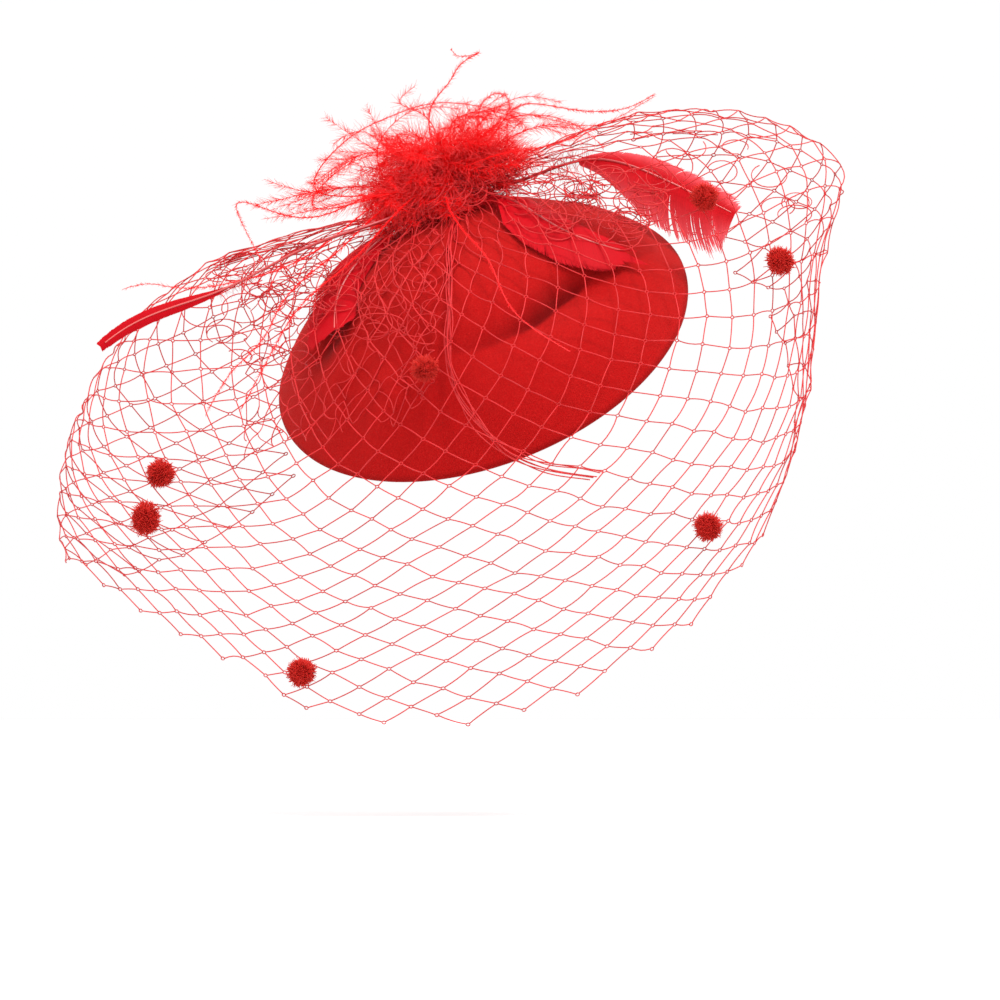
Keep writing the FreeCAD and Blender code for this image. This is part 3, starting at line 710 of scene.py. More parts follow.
def spring_mesh():
    """Leaf spring: a copy of the CAD spring in blued spring steel."""
    piece = add_object("clip_leaf_spring", NODES["clip_spring"].data.copy())
    piece.data.materials.clear()
    piece.data.materials.append(mat("spring_steel"))
    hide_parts("clip_spring")
    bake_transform(piece)
    return piece


# --------------------------------------------------------------------------
# Binding and gathering threads
# --------------------------------------------------------------------------

BIND_TURNS, BIND_LOW, BIND_RISE = 15, 1.75, 7.9
BIND_R, BIND_THREAD_R = 3.75, 0.34
POST_LOW, POST_H, POST_R = 1.7, 8.0, 3.6
GATHER_R, GATHER_UP, GATHER_THREAD_R = 5.3, 5.6, 0.42
GATHER_TWISTS = 34


def around_post(radius, angle, height):
    """Places round the stems' post, by radius, angle and height over its foot."""
    way = RIGHT * np.cos(angle)[:, None] + REAR * np.sin(angle)[:, None]
    return FOOT + way * np.reshape(radius, (-1, 1)) + UP * np.reshape(height, (-1, 1))


def binding_mesh():
    """Thread wound round the stems, tighter at its top, over a post of stems."""
    s = np.linspace(0, 1, BIND_TURNS * 28)
    radius = BIND_R - 0.9 * np.clip((s - 0.86) / 0.14, 0, 1) + 0.1 * np.sin(s * 61)
    coil = Threads()
    wind = around_post(radius, s * BIND_TURNS * 2 * math.pi, BIND_LOW + BIND_RISE * s)
    coil.add(wind, BIND_THREAD_R, sides=6)
    post = np.linspace(0, 1, 8)
    coil.add(FOOT + UP * (POST_LOW + POST_H * post[:, None]), POST_R - 1.2 * post[None] ** 6, sides=16)
    return finish_piece(coil.build("stem_binding_thread", mat("thread")), "thread", "stem_binding")


def gather_mesh():
    """Three-ply thread that draws the veil's edge together round the stems."""
    s = np.linspace(0, 2 * math.pi, 160, endpoint=False)
    rope = Threads()
    for phase in (0.0, 2 * math.pi / 3, 4 * math.pi / 3):
        swing = GATHER_TWISTS * s + phase
        out, lift = GATHER_THREAD_R * np.cos(swing), GATHER_THREAD_R * np.sin(swing)
        rope.add(around_post(GATHER_R + out, s, GATHER_UP + lift), GATHER_THREAD_R, sides=5, closed=True)
    return finish_piece(rope.build("veil_gather_stitching", mat("thread")), "thread", "veil_gather_thread")


# --------------------------------------------------------------------------
# Veil
# --------------------------------------------------------------------------

# The veil's ribs, from its right end at the back, round the front, to its left
# end at the back. Each runs from the gather out and down to the free edge.
VEIL_RIBS = [
    [(8, 30, 62), (30, 44, 73), (55, 52, 71), (64, 54, 54), (64, 48, 37)],
    [(13, 28, 65), (48, 40, 79), (77, 48, 79), (91, 52, 57), (82, 46, 31)],
    [(16, 22, 66), (62, 30, 80), (102, 34, 77), (116, 40, 50), (94, 30, 15)],
    [(18, 12, 64), (72, 14, 75), (123, 14, 65), (119, 16, 38), (103, 8, -3)],
    [(16, 1, 61), (69, -2, 68), (110, -6, 54), (117, -8, 19), (107, -18, -24)],
    [(13, -5, 55), (55, -14, 50), (91, -26, 22), (107, -38, -19), (99, -52, -61)],
    [(8, -8, 50), (37, -34, 29), (62, -56, -9), (77, -72, -51), (72, -86, -96)],
    [(2, -9, 45), (20, -51, 15), (34, -70, -30), (42, -92, -75), (40, -102, -118)],
    [(-5, -8, 43), (-3, -52, 12), (-1, -71, -33), (2, -95, -86), (2, -106, -131)],
    [(-11, -3, 43), (-25, -40, 15), (-34, -58, -30), (-36, -86, -86), (-34, -101, -134)],
    [(-18, 3, 45), (-45, -14, 21), (-64, -30, -23), (-71, -62, -75), (-67, -85, -125)],
    [(-24, 10, 45), (-60, -2, 24), (-92, -20, -13), (-102, -44, -61), (-93, -67, -108)],
    [(-27, 17, 45), (-74, 4, 29), (-116, -10, -2), (-133, -24, -44), (-121, -46, -91)],
    [(-29, 24, 46), (-83, 17, 33), (-128, 10, 0), (-147, 0, -47), (-144, -14, -76)],
    [(-29, 30, 47), (-83, 30, 33), (-125, 32, 0), (-142, 30, -40), (-131, 14, -80)],
    [(-28, 36, 48), (-77, 42, 33), (-111, 48, 1), (-125, 50, -37), (-111, 36, -80)],
    [(-26, 42, 49), (-67, 52, 31), (-90, 58, 1), (-98, 60, -30), (-88, 46, -65)],
    [(-24, 46, 49), (-55, 58, 29), (-69, 64, 1), (-72, 62, -23), (-66, 52, -47)],
]
VEIL_RING_R, VEIL_RING_UP = 8.6, 5.6
VEIL_FROM_DEG, VEIL_SWEEP_DEG = 50.0, 280.0


def steps(lines):
    """Places from 0 to 1 along like lines, by their mean spacing."""
    mean = np.linalg.norm(np.diff(lines, axis=1), axis=2).mean(0)
    d = np.concatenate([[0.0], np.cumsum(mean)])
    return d / d[-1]


def veil_surface(across=361, down=181):
    """The hanging net as a grid, even along its length and its width."""
    share = np.arange(len(VEIL_RIBS)) / (len(VEIL_RIBS) - 1)
    start = around_post(VEIL_RING_R, np.radians(VEIL_FROM_DEG - VEIL_SWEEP_DEG * share), VEIL_RING_UP)
    grid = np.concatenate([start[:, None], np.array(VEIL_RIBS, float)], axis=1)
    a, b = steps(grid.transpose(1, 0, 2)), steps(grid)
    grid = cubic(a, grid, np.linspace(0, 1, across))
    grid = cubic(b, grid.transpose(1, 0, 2), np.linspace(0, 1, down)).transpose(1, 0, 2)
    even = np.stack([evenly(grid[i], down) for i in range(across)])
    return np.stack([evenly(even[:, j], across) for j in range(down)], axis=1)


def read_grid(grid, u, v):
    """Points of the grid at places 0 to 1 along its length u and width v."""
    n, m = grid.shape[:2]
    x, y = np.clip(u, 0, 1) * (n - 1), np.clip(v, 0, 1) * (m - 1)
    i, j = np.minimum(x.astype(int), n - 2), np.minimum(y.astype(int), m - 2)
    p, q = (x - i)[..., None], (y - j)[..., None]
    return ((1 - p) * (1 - q) * grid[i, j] + p * (1 - q) * grid[i + 1, j]
            + (1 - p) * q * grid[i, j + 1] + p * q * grid[i + 1, j + 1])


# Where the net folds over itself on the crown, seen from the front
FOLD_LINE = [(-9, 44), (-11, 32), (-12.4, 17), (-12.2, 2.4), (-9.5, -15), (-1, -28.5),
             (8.7, -37.6), (18.8, -41.4), (38.6, -45.6)]
# Loose loops: the least x and z of a patch, its greatest, and how many lie in it
LOOP_PATCHES = [((22, 38), (58, 62), 46), ((-98, 12), (-58, 42), 34), ((-60, 2), (-16, 40), 26),
                ((8, 42), (40, 66), 18), ((56, 44), (118, 80), 16), ((-92, -10), (-58, 32), 24)]
FRONT_Y, ASIDE_MOST = 12, 1.5
LAYER_ROWS, LAYER_ACROSS, GATHER_LOOPS = 15, 11, 80
LOOP_THREAD = 0.95


def on_net(grid, x, z, inside=0.0):
    """Points of the net's front at x and z, moved in towards the crown but clear of it."""
    front = grid.reshape(-1, 3)
    normal = unit(np.cross(np.gradient(grid, axis=0), np.gradient(grid, axis=1))).reshape(-1, 3)
    normal = normal * np.sign((normal * (front - CAP_CENTRE)).sum(1, keepdims=True))
    front, normal = front[front[:, 1] < FRONT_Y], normal[front[:, 1] < FRONT_Y]
    near = np.argmin((front[:, 0][None] - x[:, None]) ** 2 + (front[:, 2][None] - z[:, None]) ** 2, axis=1)
    aside = np.stack([x, z], axis=1) - front[near][:, [0, 2]]
    aside = aside * np.minimum(1, ASIDE_MOST / np.maximum(np.linalg.norm(aside, axis=1, keepdims=True), 1e-6))
    made = front[near] + np.insert(aside, 1, 0, axis=1) - normal[near] * np.reshape(inside, (-1, 1))
    return clear_of_crown(made, 1.2)


def fold_strands(net, grid, thread, rng):
    """The net's fold in front: six strands that lie side by side and spread lower down."""
    count, points = 6, 90
    line = smooth([(x, 0, z) for x, z in FOLD_LINE], points)
    s = np.linspace(0, 1, points)
    for k in range(count):
        sway = 0.9 * np.sin(s * rng.uniform(14, 30) + rng.uniform(0, 6))
        swing = sway + (k - (count - 1) / 2) * (0.25 + 0.75 * s ** 2)
        lie = rng.uniform(0.5, 2.5)
        net.add(on_net(grid, line[:, 0] + swing, line[:, 2] + swing * 0.5 * s, lie), thread, sides=6)


def second_layer(net, grid, thread, rng):
    """A slack piece of net that lies behind the first, left of the fold."""
    knots = {}
    for k in range(LAYER_ROWS):
        for i in range(LAYER_ACROSS):
            x = -13.0 - 6.2 * (i + 0.5 * (k % 2)) - 0.48 * k
            z = 40.0 - 4.4 * k - 0.12 * i * k + 0.2 * i
            knots[(i, k)] = (x + rng.normal() * 1.3, z + rng.normal() * 1.3)
    spots = np.array(list(knots.values()))
    solid = dict(zip(knots, on_net(grid, spots[:, 0], spots[:, 1], rng.uniform(1.5, 5.0, len(spots)))))
    pairs = np.array([(solid[here], solid[other]) for here in knots for other in next_knots(*here)
                      if other in knots and rng.random() < 0.92])
    a, b = pairs[:, :1], pairs[:, 1:]
    q = np.linspace(0, 1, 7)[None, :, None]
    bow = rng.normal(size=a.shape) * 0.85
    curl = rng.normal(size=a.shape) * 0.12
    paths = a * (1 - q) + b * q + bow * 4 * q * (1 - q) + curl * np.sin(2 * math.pi * q)
    net.add(clear_of_crown(paths, 0.8), thread * LOOP_THREAD, sides=4)


def loose_loops(net, grid, thread, rng):
    """Curls of thread that stand off the net in patches."""
    for low, high, count in LOOP_PATCHES:
        for _ in range(count):
            x, z = rng.uniform(low[0], high[0]), rng.uniform(low[1], high[1])
            r, turn, sweep = rng.uniform(4, 9), rng.uniform(0, 2 * math.pi), rng.uniform(2.6, 6.2)
            arc = turn + np.linspace(0, sweep, 18)
            squash = rng.uniform(0.35, 0.9)
            loop = on_net(grid, x + r * np.cos(arc), z + r * squash * np.sin(arc), rng.uniform(0.3, 3.5))
            net.add(loop, thread * LOOP_THREAD, sides=4)


def gather_loops(net, thread, rng):
    """Loops of the gathered edge that stand out round the stems."""
    for k in range(GATHER_LOOPS):
        angle = rng.uniform(-2.9, 0.35) if k % 4 else rng.uniform(-math.pi, math.pi)
        reach, high = rng.uniform(9, 24), rng.uniform(-1.0, 7.0)
        way = RIGHT * math.cos(angle) + REAR * math.sin(angle)
        across = np.cross(UP, way)
        start = FOOT + UP * rng.uniform(5.0, 8.5) + way * 6.5
        tip = start + way * reach * 0.8 + UP * (high - reach * 0.25)
        wide = rng.uniform(2.0, 5.0)
        spots = [start, start + way * reach * 0.4 + across * wide + UP * high * 0.7,
                 tip + across * wide * 0.4, tip - across * wide * 0.5 - UP,
                 start + way * reach * 0.35 - across * wide, start - across]
        net.add(clear_of_crown(smooth(spots, 22), 2.2), thread * LOOP_THREAD, sides=4)


def next_knots(i, k):
    """The two knots of the next row that a knot's threads run to."""
    return (i, k + 1), (i - 1 + 2 * (k % 2), k + 1)


NET_ROWS, NET_START = 70, 0.015


def net_rows(grid, side, columns):
    """Each row's place down the net, by the diamonds' sides and the width they hang at."""
    length = np.linalg.norm(np.diff(grid, axis=1), axis=2).sum(1)
    wide = np.linalg.norm(np.gradient(grid, axis=0), axis=2) * (grid.shape[0] - 1)
    at = np.arange(columns + 1) / columns
    i = np.round(at * (grid.shape[0] - 1)).astype(int)
    rows = [np.full(columns + 1, NET_START)]
    for _ in range(NET_ROWS - 1):
        j = np.round(np.clip(rows[-1], 0, 1) * (grid.shape[1] - 1)).astype(int)
        half = np.minimum(wide[i, j] / (2 * columns), side * 0.93)
        rows.append(rows[-1] + np.sqrt(side ** 2 - half ** 2) / length[i])
    kernel = np.array([1, 2, 3, 2, 1]) / 9.0
    padded = np.pad(np.array(rows), ((0, 0), (2, 2)), mode="edge")
    return at, sum(kernel[d] * padded[:, d:d + columns + 1] for d in range(5))


def net_knots(grid, side, columns):
    """Knots as places on the grid, the pairs of them that a thread joins, and how
    many threads meet at each. Threads that end in no diamond are left out."""
    at, rows = net_rows(grid, side, columns)
    knots, key = [], {}
    for k, row in enumerate(rows):
        for i in range(columns + 1 - k % 2):
            u = (i + 0.5 * (k % 2)) / columns
            v = np.interp(u, at, row)
            if v <= 1.0:
                key[(i, k)] = len(knots)
                knots.append((u, v))
    edges = np.array([(here, key[other]) for place, here in key.items() for other in next_knots(*place)
                      if other in key])
    while True:
        degree = np.bincount(edges.ravel(), minlength=len(knots))
        keep = ~(degree[edges] == 1).any(1)
        if keep.all():
            return np.array(knots), edges, degree
        edges = edges[keep]


KNOT_LONG, KNOT_TALL, KNOT_INSET = 0.72, 0.52, 0.02
STEP_ALONG, STEP_DOWN = 0.004, 0.01


def veil_mesh(settings):
    """The knotted net: a ring at each knot, slack threads between, and its loose threads."""
    rng = np.random.default_rng(5)
    grid = veil_surface()
    thread, columns = settings.thread_radius * PER_METRE, settings.columns
    knots, edges, degree = net_knots(grid, settings.mesh_side * PER_METRE, columns)
    wobble = np.clip(knots[:, 1] * 6, 0, 1)[:, None]
    knots = knots + wobble * rng.normal(size=knots.shape) * [0.0007, 0.0022]
    u, v = knots.T
    points = read_grid(grid, u, v)
    along = unit(read_grid(grid, u + STEP_ALONG, v) - read_grid(grid, u - STEP_ALONG, v))
    fall = read_grid(grid, u, v + STEP_DOWN) - read_grid(grid, u, v - STEP_DOWN)
    normal = unit(np.cross(along, fall))
    down = np.cross(normal, along)
    ripple = (0.9 * np.sin(points[:, 0] * 0.11 + points[:, 2] * 0.07) * np.sin(points[:, 2] * 0.13 + 1.0)
              + 0.35 * rng.normal(size=len(points)))
    points = points + normal * (ripple * wobble[:, 0])[:, None]
    size = 0.35 + 0.65 * np.clip(v * 3.2, 0, 1)

    def knot_edge(at, angle, inset=0.0):
        """Places on the loops of some knots, at an angle round each."""
        long, tall = np.cos(angle) * (KNOT_LONG - inset), np.sin(angle) * (KNOT_TALL - inset)
        return (points[at][:, None] + along[at][:, None] * (long * size[at, None])[..., None]
                + down[at][:, None] * (tall * size[at, None])[..., None])

    def leaves(at, way):
        """Where a thread leaves its knot's loop."""
        angle = np.arctan2((way * down[at]).sum(1) / KNOT_TALL, (way * along[at]).sum(1) / KNOT_LONG)
        return knot_edge(at, angle[:, None], KNOT_INSET)

    a, b = edges.T
    gap = points[b] - points[a]
    start, end = leaves(a, gap), leaves(b, -gap)
    offset = read_grid(grid, (u[a] + u[b]) / 2, (v[a] + v[b]) / 2) - (points[a] + points[b]) / 2
    bow = np.where(np.linalg.norm(offset, axis=1, keepdims=True) < 2.5, offset, 0) * 0.7
    bow = bow + rng.normal(size=bow.shape) * (0.16 + 0.8 * np.clip(1 - v[a, None] * 3, 0, 1))
    s = np.linspace(0, 1, 5)[None, :, None]
    net = Threads()
    slim = 0.75 + 0.25 * np.clip(v[a, None] * 3, 0, 1)
    net.add(start * (1 - s) + end * s + bow[:, None] * (4 * s * (1 - s)), thread * slim, sides=5)
    used = np.flatnonzero(degree)
    loops = knot_edge(used, np.linspace(0, 2 * math.pi, 7, endpoint=False)[None])
    net.add(loops, thread * LOOP_THREAD * (0.7 + 0.3 * size[used, None]), sides=4, closed=True)
    fold_strands(net, grid, thread, rng)
    second_layer(net, grid, thread, rng)
    loose_loops(net, grid, thread, rng)
    gather_loops(net, thread, rng)
    obj = net.build("veil_netting", mat("net"))
    finish_piece(obj, "net", "veil_net")
    return obj


# --------------------------------------------------------------------------
# Chenille dots
# --------------------------------------------------------------------------

DOTS = ("veil_dot_right_top", "veil_dot_right_low", "veil_dot_low_left", "veil_dot_left_low",
        "veil_dot_left_top", "veil_dot_crown", "veil_dot_feather")
DOT_CORE, DOT_WINDS = 0.25, 7
PILE_TAPER = np.array([[0.2, 0.2, 0.17, 0.1]])


def dot_mesh(name, seed, fibres):
    """Dense pile round a wound core that fills the dot's middle."""
    rng = np.random.default_rng(seed)
    low, high = (np.array(corner) * PER_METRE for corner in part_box(name))
    centre, half = (low + high) / 2, (high - low) / 2
    ways = unit(rng.normal(size=(fibres, 3)))
    lump = (1 + 0.1 * np.sin(ways @ np.array([3.1, 5.2, 1.7]) + seed)
            + 0.07 * np.sin(ways @ np.array([-6.0, 2.0, 7.1])))
    reach = half * (lump * rng.uniform(0.84, 1.05, fibres))[:, None]
    length = np.linalg.norm(ways * reach, axis=1) - DOT_CORE * np.linalg.norm(ways * half, axis=1)
    swirl = np.cross(ways, rng.normal(size=(fibres, 3))) * 0.28
    hairs = Threads()
    hairs.add(bowed(centre + ways * half * DOT_CORE, ways, length, swirl, 4), PILE_TAPER,
              up=unit(rng.normal(size=(fibres, 3))))
    turn = np.linspace(0, 2 * DOT_WINDS * math.pi, 120)
    polar = turn / (2 * DOT_WINDS)
    core = np.stack([np.cos(turn) * np.sin(polar), np.sin(turn) * np.sin(polar), np.cos(polar)], -1)
    hairs.add(centre + core * half * 0.55, 1.0, sides=6)
    return finish_piece(hairs.build(name + "_pile", mat("chenille")), "chenille", name)


# --------------------------------------------------------------------------
# Goose feathers
# --------------------------------------------------------------------------

# Each feather's line and half widths, the way its face looks, and its vanes: camber,
# quill radius, bare share of the quill, slant, splits, raggedness, barbs on each side,
# each side's share of the width, and whether its tip is cut blunt
FEATHERS = {
    "feather_left_long": dict(
        line=[ROOT - RIGHT * 5 - UP * 3, (-32, 1, 44), (-60, -9, 34), (-92, -18, 18), (-112, -22.5, 11),
              (-124, -25, 5.2), (-133, -27, -1.4)],
        half=[0.4, 1.7, 2.5, 2.7, 2.5, 2.2, 1.9], face=(0.1, -1, 0.3), camber=0.3, quill=0.7, bare=0.64,
        slant=0.8, splits=1, ragged=0.06, barbs=220, share=(1.0, 1.0), tip="cut"),
    "feather_left_leaf": dict(
        line=[LOW_ROOT - RIGHT * 5, (-22, 15, 45.5), (-39, 4, 33.5), (-50, -9, 17.5), (-51.5, -23.5, 4.5)],
        half=[2.2, 8.0, 10.5, 11.8, 11.5, 4.5], face=(-0.6, -0.7, 0.4), camber=0.15, quill=0.65, bare=0.3,
        slant=0.6, splits=0, ragged=0.05, barbs=330, share=(0.8, 1.15), tip="cut"),
    "feather_right_leaf": dict(
        line=[LOW_ROOT + RIGHT * 3 - REAR * 4.2, (7, -0.5, 51), (24, -20, 41.5), (37, -26, 35.5),
              (49, -25, 32)],
        half=[2.4, 8.0, 9.4, 9.2, 6.6, 1.6], face=(0.13, -0.7, 0.7), camber=0.15, quill=0.6, bare=0.25,
        slant=0.6, splits=0, ragged=0.04, barbs=340, share=(0.8, 1.6)),
    "feather_far_right": dict(
        line=[LOW_ROOT + RIGHT * 5, (14, 17, 57.5), (38, 12, 64.5), (64, 6, 57), (88, 1, 45)],
        half=[1.6, 7.6, 12.0, 13.0, 11.5, 6.5], face=(0.05, -0.9, 0.3), camber=0.22, quill=0.7, bare=0.4,
        slant=0.5, splits=2, ragged=0.12, barbs=400, finish="sheer_vane", share=(0.6, 1.4), tip="cut"),
}


FEATHER_POINTS, FEATHER_DOWN = 161, 90
BARB_BREADTH = np.array([0.8, 1, 1, 1, 1, 0.95, 0.8, 0.3])


def barb_slant(f, g, rng):
    """How far barbs lean to the tip, with their partings; g goes from 0 to 1 up the vane."""
    part = np.zeros(len(g))
    for _ in range(f["splits"]):
        c, size = rng.uniform(0.05, 0.95), rng.uniform(0.03, 0.1)
        part += size * 1.6 * np.clip(1 - np.abs(g - c) / size, 0, 1) * np.sign(g - c)
    slant = f["slant"] * (0.55 + 0.9 * g ** 1.5) + 0.5 * part + rng.normal(size=len(g)) * 0.008
    if f.get("tip") == "cut":
        return slant * np.interp(g, [0.86, 1], [1, 0.15])
    return slant + 2.2 * np.clip((g - 0.93) / 0.07, 0, 1) ** 2


def feather_mesh(name, seed):
    """Quill, two vanes of overlapping barbs that part here and there, and the
    loose down at the vane's root."""
    f = FEATHERS[name]
    bare, barbs = f["bare"], f["barbs"]
    rng = np.random.default_rng(seed)
    line = smooth(f["line"], FEATHER_POINTS)
    t = tangents(line)
    across = unit(np.cross(t, np.asarray(f["face"], float)))
    raised = np.cross(across, t)
    threads = Threads()
    s = np.linspace(0, 1, FEATHER_POINTS)
    threads.add(line[:-3], (f["quill"] * (1 - 0.78 * s) + 0.05)[None, :-3], sides=6, slot=1)
    root = bare + (0.995 - bare) * np.linspace(0, 1, barbs)
    at = np.interp(root, s, np.arange(FEATHER_POINTS))
    foot, i = between(line, at)
    g = (root - bare) / (1 - bare)
    pitch = np.linalg.norm(line[-1] - line[0]) * (1 - bare) / barbs
    q = np.linspace(0, 1, len(BARB_BREADTH))
    for way, share in zip((-1.0, 1.0), f["share"]):
        wide = np.interp(g, np.linspace(0, 1, len(f["half"])), f["half"]) * share
        slant = barb_slant(f, g, rng)
        length = wide * (1 + f["ragged"] * rng.normal(size=barbs) * (0.12 + g ** 3))
        length = np.clip(length / np.cos(np.arctan(slant) * 0.6), 0.4, wide * 1.35 + 0.3)
        out = length[:, None] * (q - 0.13 * q ** 2)
        ahead = length[:, None] * slant[:, None] * (0.35 * q + 0.65 * q ** 2)
        dip = (f["camber"] * out ** 2 / np.maximum(wide, 1.0)[:, None]
               + 0.02 * np.sin(at / 9.0)[:, None] * q * wide[:, None])
        paths = (foot[:, None] + way * across[i][:, None] * out[..., None] + t[i][:, None] * ahead[..., None]
                 - raised[i][:, None] * dip[..., None])
        threads.add(clear_of_crown(paths, 0.5), (pitch * 1.3 * BARB_BREADTH)[None], sides=4, flat=0.07,
                    up=t[i] - across[i] * way * 0.3)
    k = ((bare - 0.1 + 0.14 * rng.random(FEATHER_DOWN)) * (FEATHER_POINTS - 1)).astype(int)
    way = np.where(rng.random(FEATHER_DOWN) < 0.5, -1.0, 1.0)[:, None]
    leave = across[k] * way + t[k] * rng.uniform(-0.3, 0.7, (FEATHER_DOWN, 1))
    leave = unit(leave + raised[k] * rng.normal(size=(FEATHER_DOWN, 1)) * 0.4)
    bend = rng.normal(size=(FEATHER_DOWN, 3)) * 0.3
    paths = bowed(line[k], leave, rng.uniform(0.5, 1.0, FEATHER_DOWN) * (2.0 + f["half"][1]), bend, 7)
    threads.add(paths, np.linspace(0.07, 0.03, 7)[None])
    obj = threads.build(name + "_barbs", mat(f.get("finish", "vane")), mat("rachis"), smooth_faces=False)
    return finish_piece(obj, "goose_feather", name)


# --------------------------------------------------------------------------
# Ostrich fronds, stripped wisps and the marabou puff
# --------------------------------------------------------------------------

# Each strand's line, then its barbules' length, spacing and lean to the tip
PLUMES = {
    "frond_left_high": ([(-17, 19, 60), (-32, 16, 66), (-48, 13, 64), (-60, 11, 56)], 6.0, 0.32, 0.9),
    "frond_left_low": ([(-20, 22, 57), (-40, 20, 55), (-61, 18, 53), (-79, 17, 49)], 4.5, 0.34, 1.2),
    "frond_top": ([(-12, 20, 67), (-10, 14, 78), (3, 11, 81), (15, 8, 75)], 5.0, 0.34, 0.9),
    "frond_right": ([(-1, 14, 65), (9, 8, 72), (21, 1, 76), (33, -6, 76)], 4.2, 0.36, 1.1),
    "wisp_tall": ([(-16, 15, 68), (-18, 12, 83), (-12, 8, 91), (-6, 6, 99), (-1, 5, 102), (-9, 3, 101),
                   (-11, 2, 103)], 1.5, 0.3, 0.8),
    "wisp_arch": ([(-3, 8, 66), (-1, 4, 81), (2, 2, 86), (7, 0, 87), (9, -1, 81), (8.5, -2, 77)],
                  1.6, 0.22, 0.5),
    "wisp_right": ([(4, 17, 73), (12, 14, 83), (25, 11, 83), (41, 8, 81), (50, 6, 82), (60, 4, 87)],
                   1.4, 0.3, 0.9),
    "wisp_left_kink": ([(-26, 13, 57), (-50, 6, 47), (-69, 2, 45), (-86, -2, 48), (-84, -3, 42),
                        (-77, -4, 29)], 1.5, 0.32, 1.0),
    "wisp_crown": ([(-13, 4, 54), (-6, -24, 38), (3, -45.5, 26), (10, -55, 12), (19, -60, 4), (30, -63, -3)],
                   1.2, 0.45, 1.2),
    "wisp_low_outer": ([(-30, 9, 50), (-52, -8, 31), (-70, -15, 14), (-76, -19, 2), (-86, -24, -9),
                        (-96, -30, -25)], 1.6, 0.34, 1.1),
    "wisp_low_inner": ([(-26, 3, 50), (-47, -15, 27), (-62, -19, 14), (-73, -25, -2), (-84, -32, -23)],
                       1.6, 0.34, 1.1),
    "wisp_thin_left": ([(-31, 10, 53), (-60, -3, 31), (-88, -11, 21), (-108, -14, 20), (-117, -15, 21),
                        (-125, -16, 19)], 1.5, 0.34, 1.0),
}


def barbed(threads, line, rng, barb, pitch, lean, shaft=0.16, width=0.055, points=5, bare=0.0):
    """A shaft with barbules along it, which lean to its tip and droop."""
    threads.add(line, (shaft * np.linspace(1, 0.35, len(line)))[None], sides=5)
    length = np.linalg.norm(np.diff(line, axis=0), axis=1).sum()
    m = max(6, int(2 * length / pitch))
    g = bare + (1 - bare) * np.sort(rng.random(m))
    foot, i = between(line, g * (len(line) - 1))
    t = tangents(line)[i]
    aside = unit(np.cross(t, rng.normal(size=(m, 3))))
    leave = unit(aside + t * (lean * rng.uniform(0.6, 1.3, (m, 1))))
    bend = t * rng.uniform(0.0, 0.35, (m, 1)) + rng.normal(size=(m, 3)) * 0.13 - np.array([0, 0, 0.06])
    reach = barb * rng.uniform(0.45, 1.1, m) * np.interp(g, [0, 0.15, 0.7, 1], [0.6, 1, 1, 0.55])
    threads.add(bowed(foot, leave, reach, bend, points), np.linspace(width, width * 0.4, points)[None], up=t)


def swayed(points, count, turns, size, rng):
    """A smooth line through the points that sways a little along its length."""
    line = smooth(points, count)
    return line + np.sin(np.linspace(0, turns, count))[:, None] * rng.normal(size=3) * size


def plume_mesh(name, seed):
    """One stripped wisp, or one frond with seven finer strands beside it."""
    line, barb, pitch, lean = PLUMES[name]
    rng = np.random.default_rng(seed)
    threads = Threads()
    wisp = name.startswith("wisp")
    start = ROOT + UP + (np.array(line[0]) - ROOT) * 0.25
    middle = swayed([start] + line, 70, 9, 0.25 if wisp else 0.5, rng)
    barbed(threads, middle, rng, barb, pitch, lean, 0.26 if wisp else 0.24, 0.085 if wisp else 0.075)
    if not wisp:
        t = tangents(middle)
        for _ in range(7):
            i = rng.integers(8, 50)
            side = unit(np.cross(t[i], rng.normal(size=3)))
            reach = rng.uniform(12, 22)
            way = unit(t[i] + side * rng.uniform(0.25, 0.6))
            bend = side * 0.12 + rng.normal(size=3) * 0.1
            strand = bowed(middle[i][None], way[None], [reach], bend[None], 26)[0]
            barbed(threads, strand, rng, barb * 0.7, pitch * 1.2, lean, 0.13, 0.065, 4)
    return finish_piece(threads.build(name + "_plume", mat("fluff")), "fluff", name)


# Each part of the puff: how far it spreads right, back and up, the least and most of
# its rise, and how far its plumes lean right and back
PUFFS = {
    "marabou_down": ((31.0, 18.0, 17.0), (-0.1, 1.0), (1, 0)),
    "marabou_down_low": ((24.0, 14.0, 10.0), (-1.5, 0.0), (-8, -7)),
    "marabou_down_core": ((20.0, 12.0, 21.0), (-0.3, 1.1), (1, -3)),
    "marabou_down_left": ((17.0, 12.0, 9.0), (-0.8, 0.8), (-14, -4)),
}
GOLDEN_TURN = 2 * math.pi * 0.381966


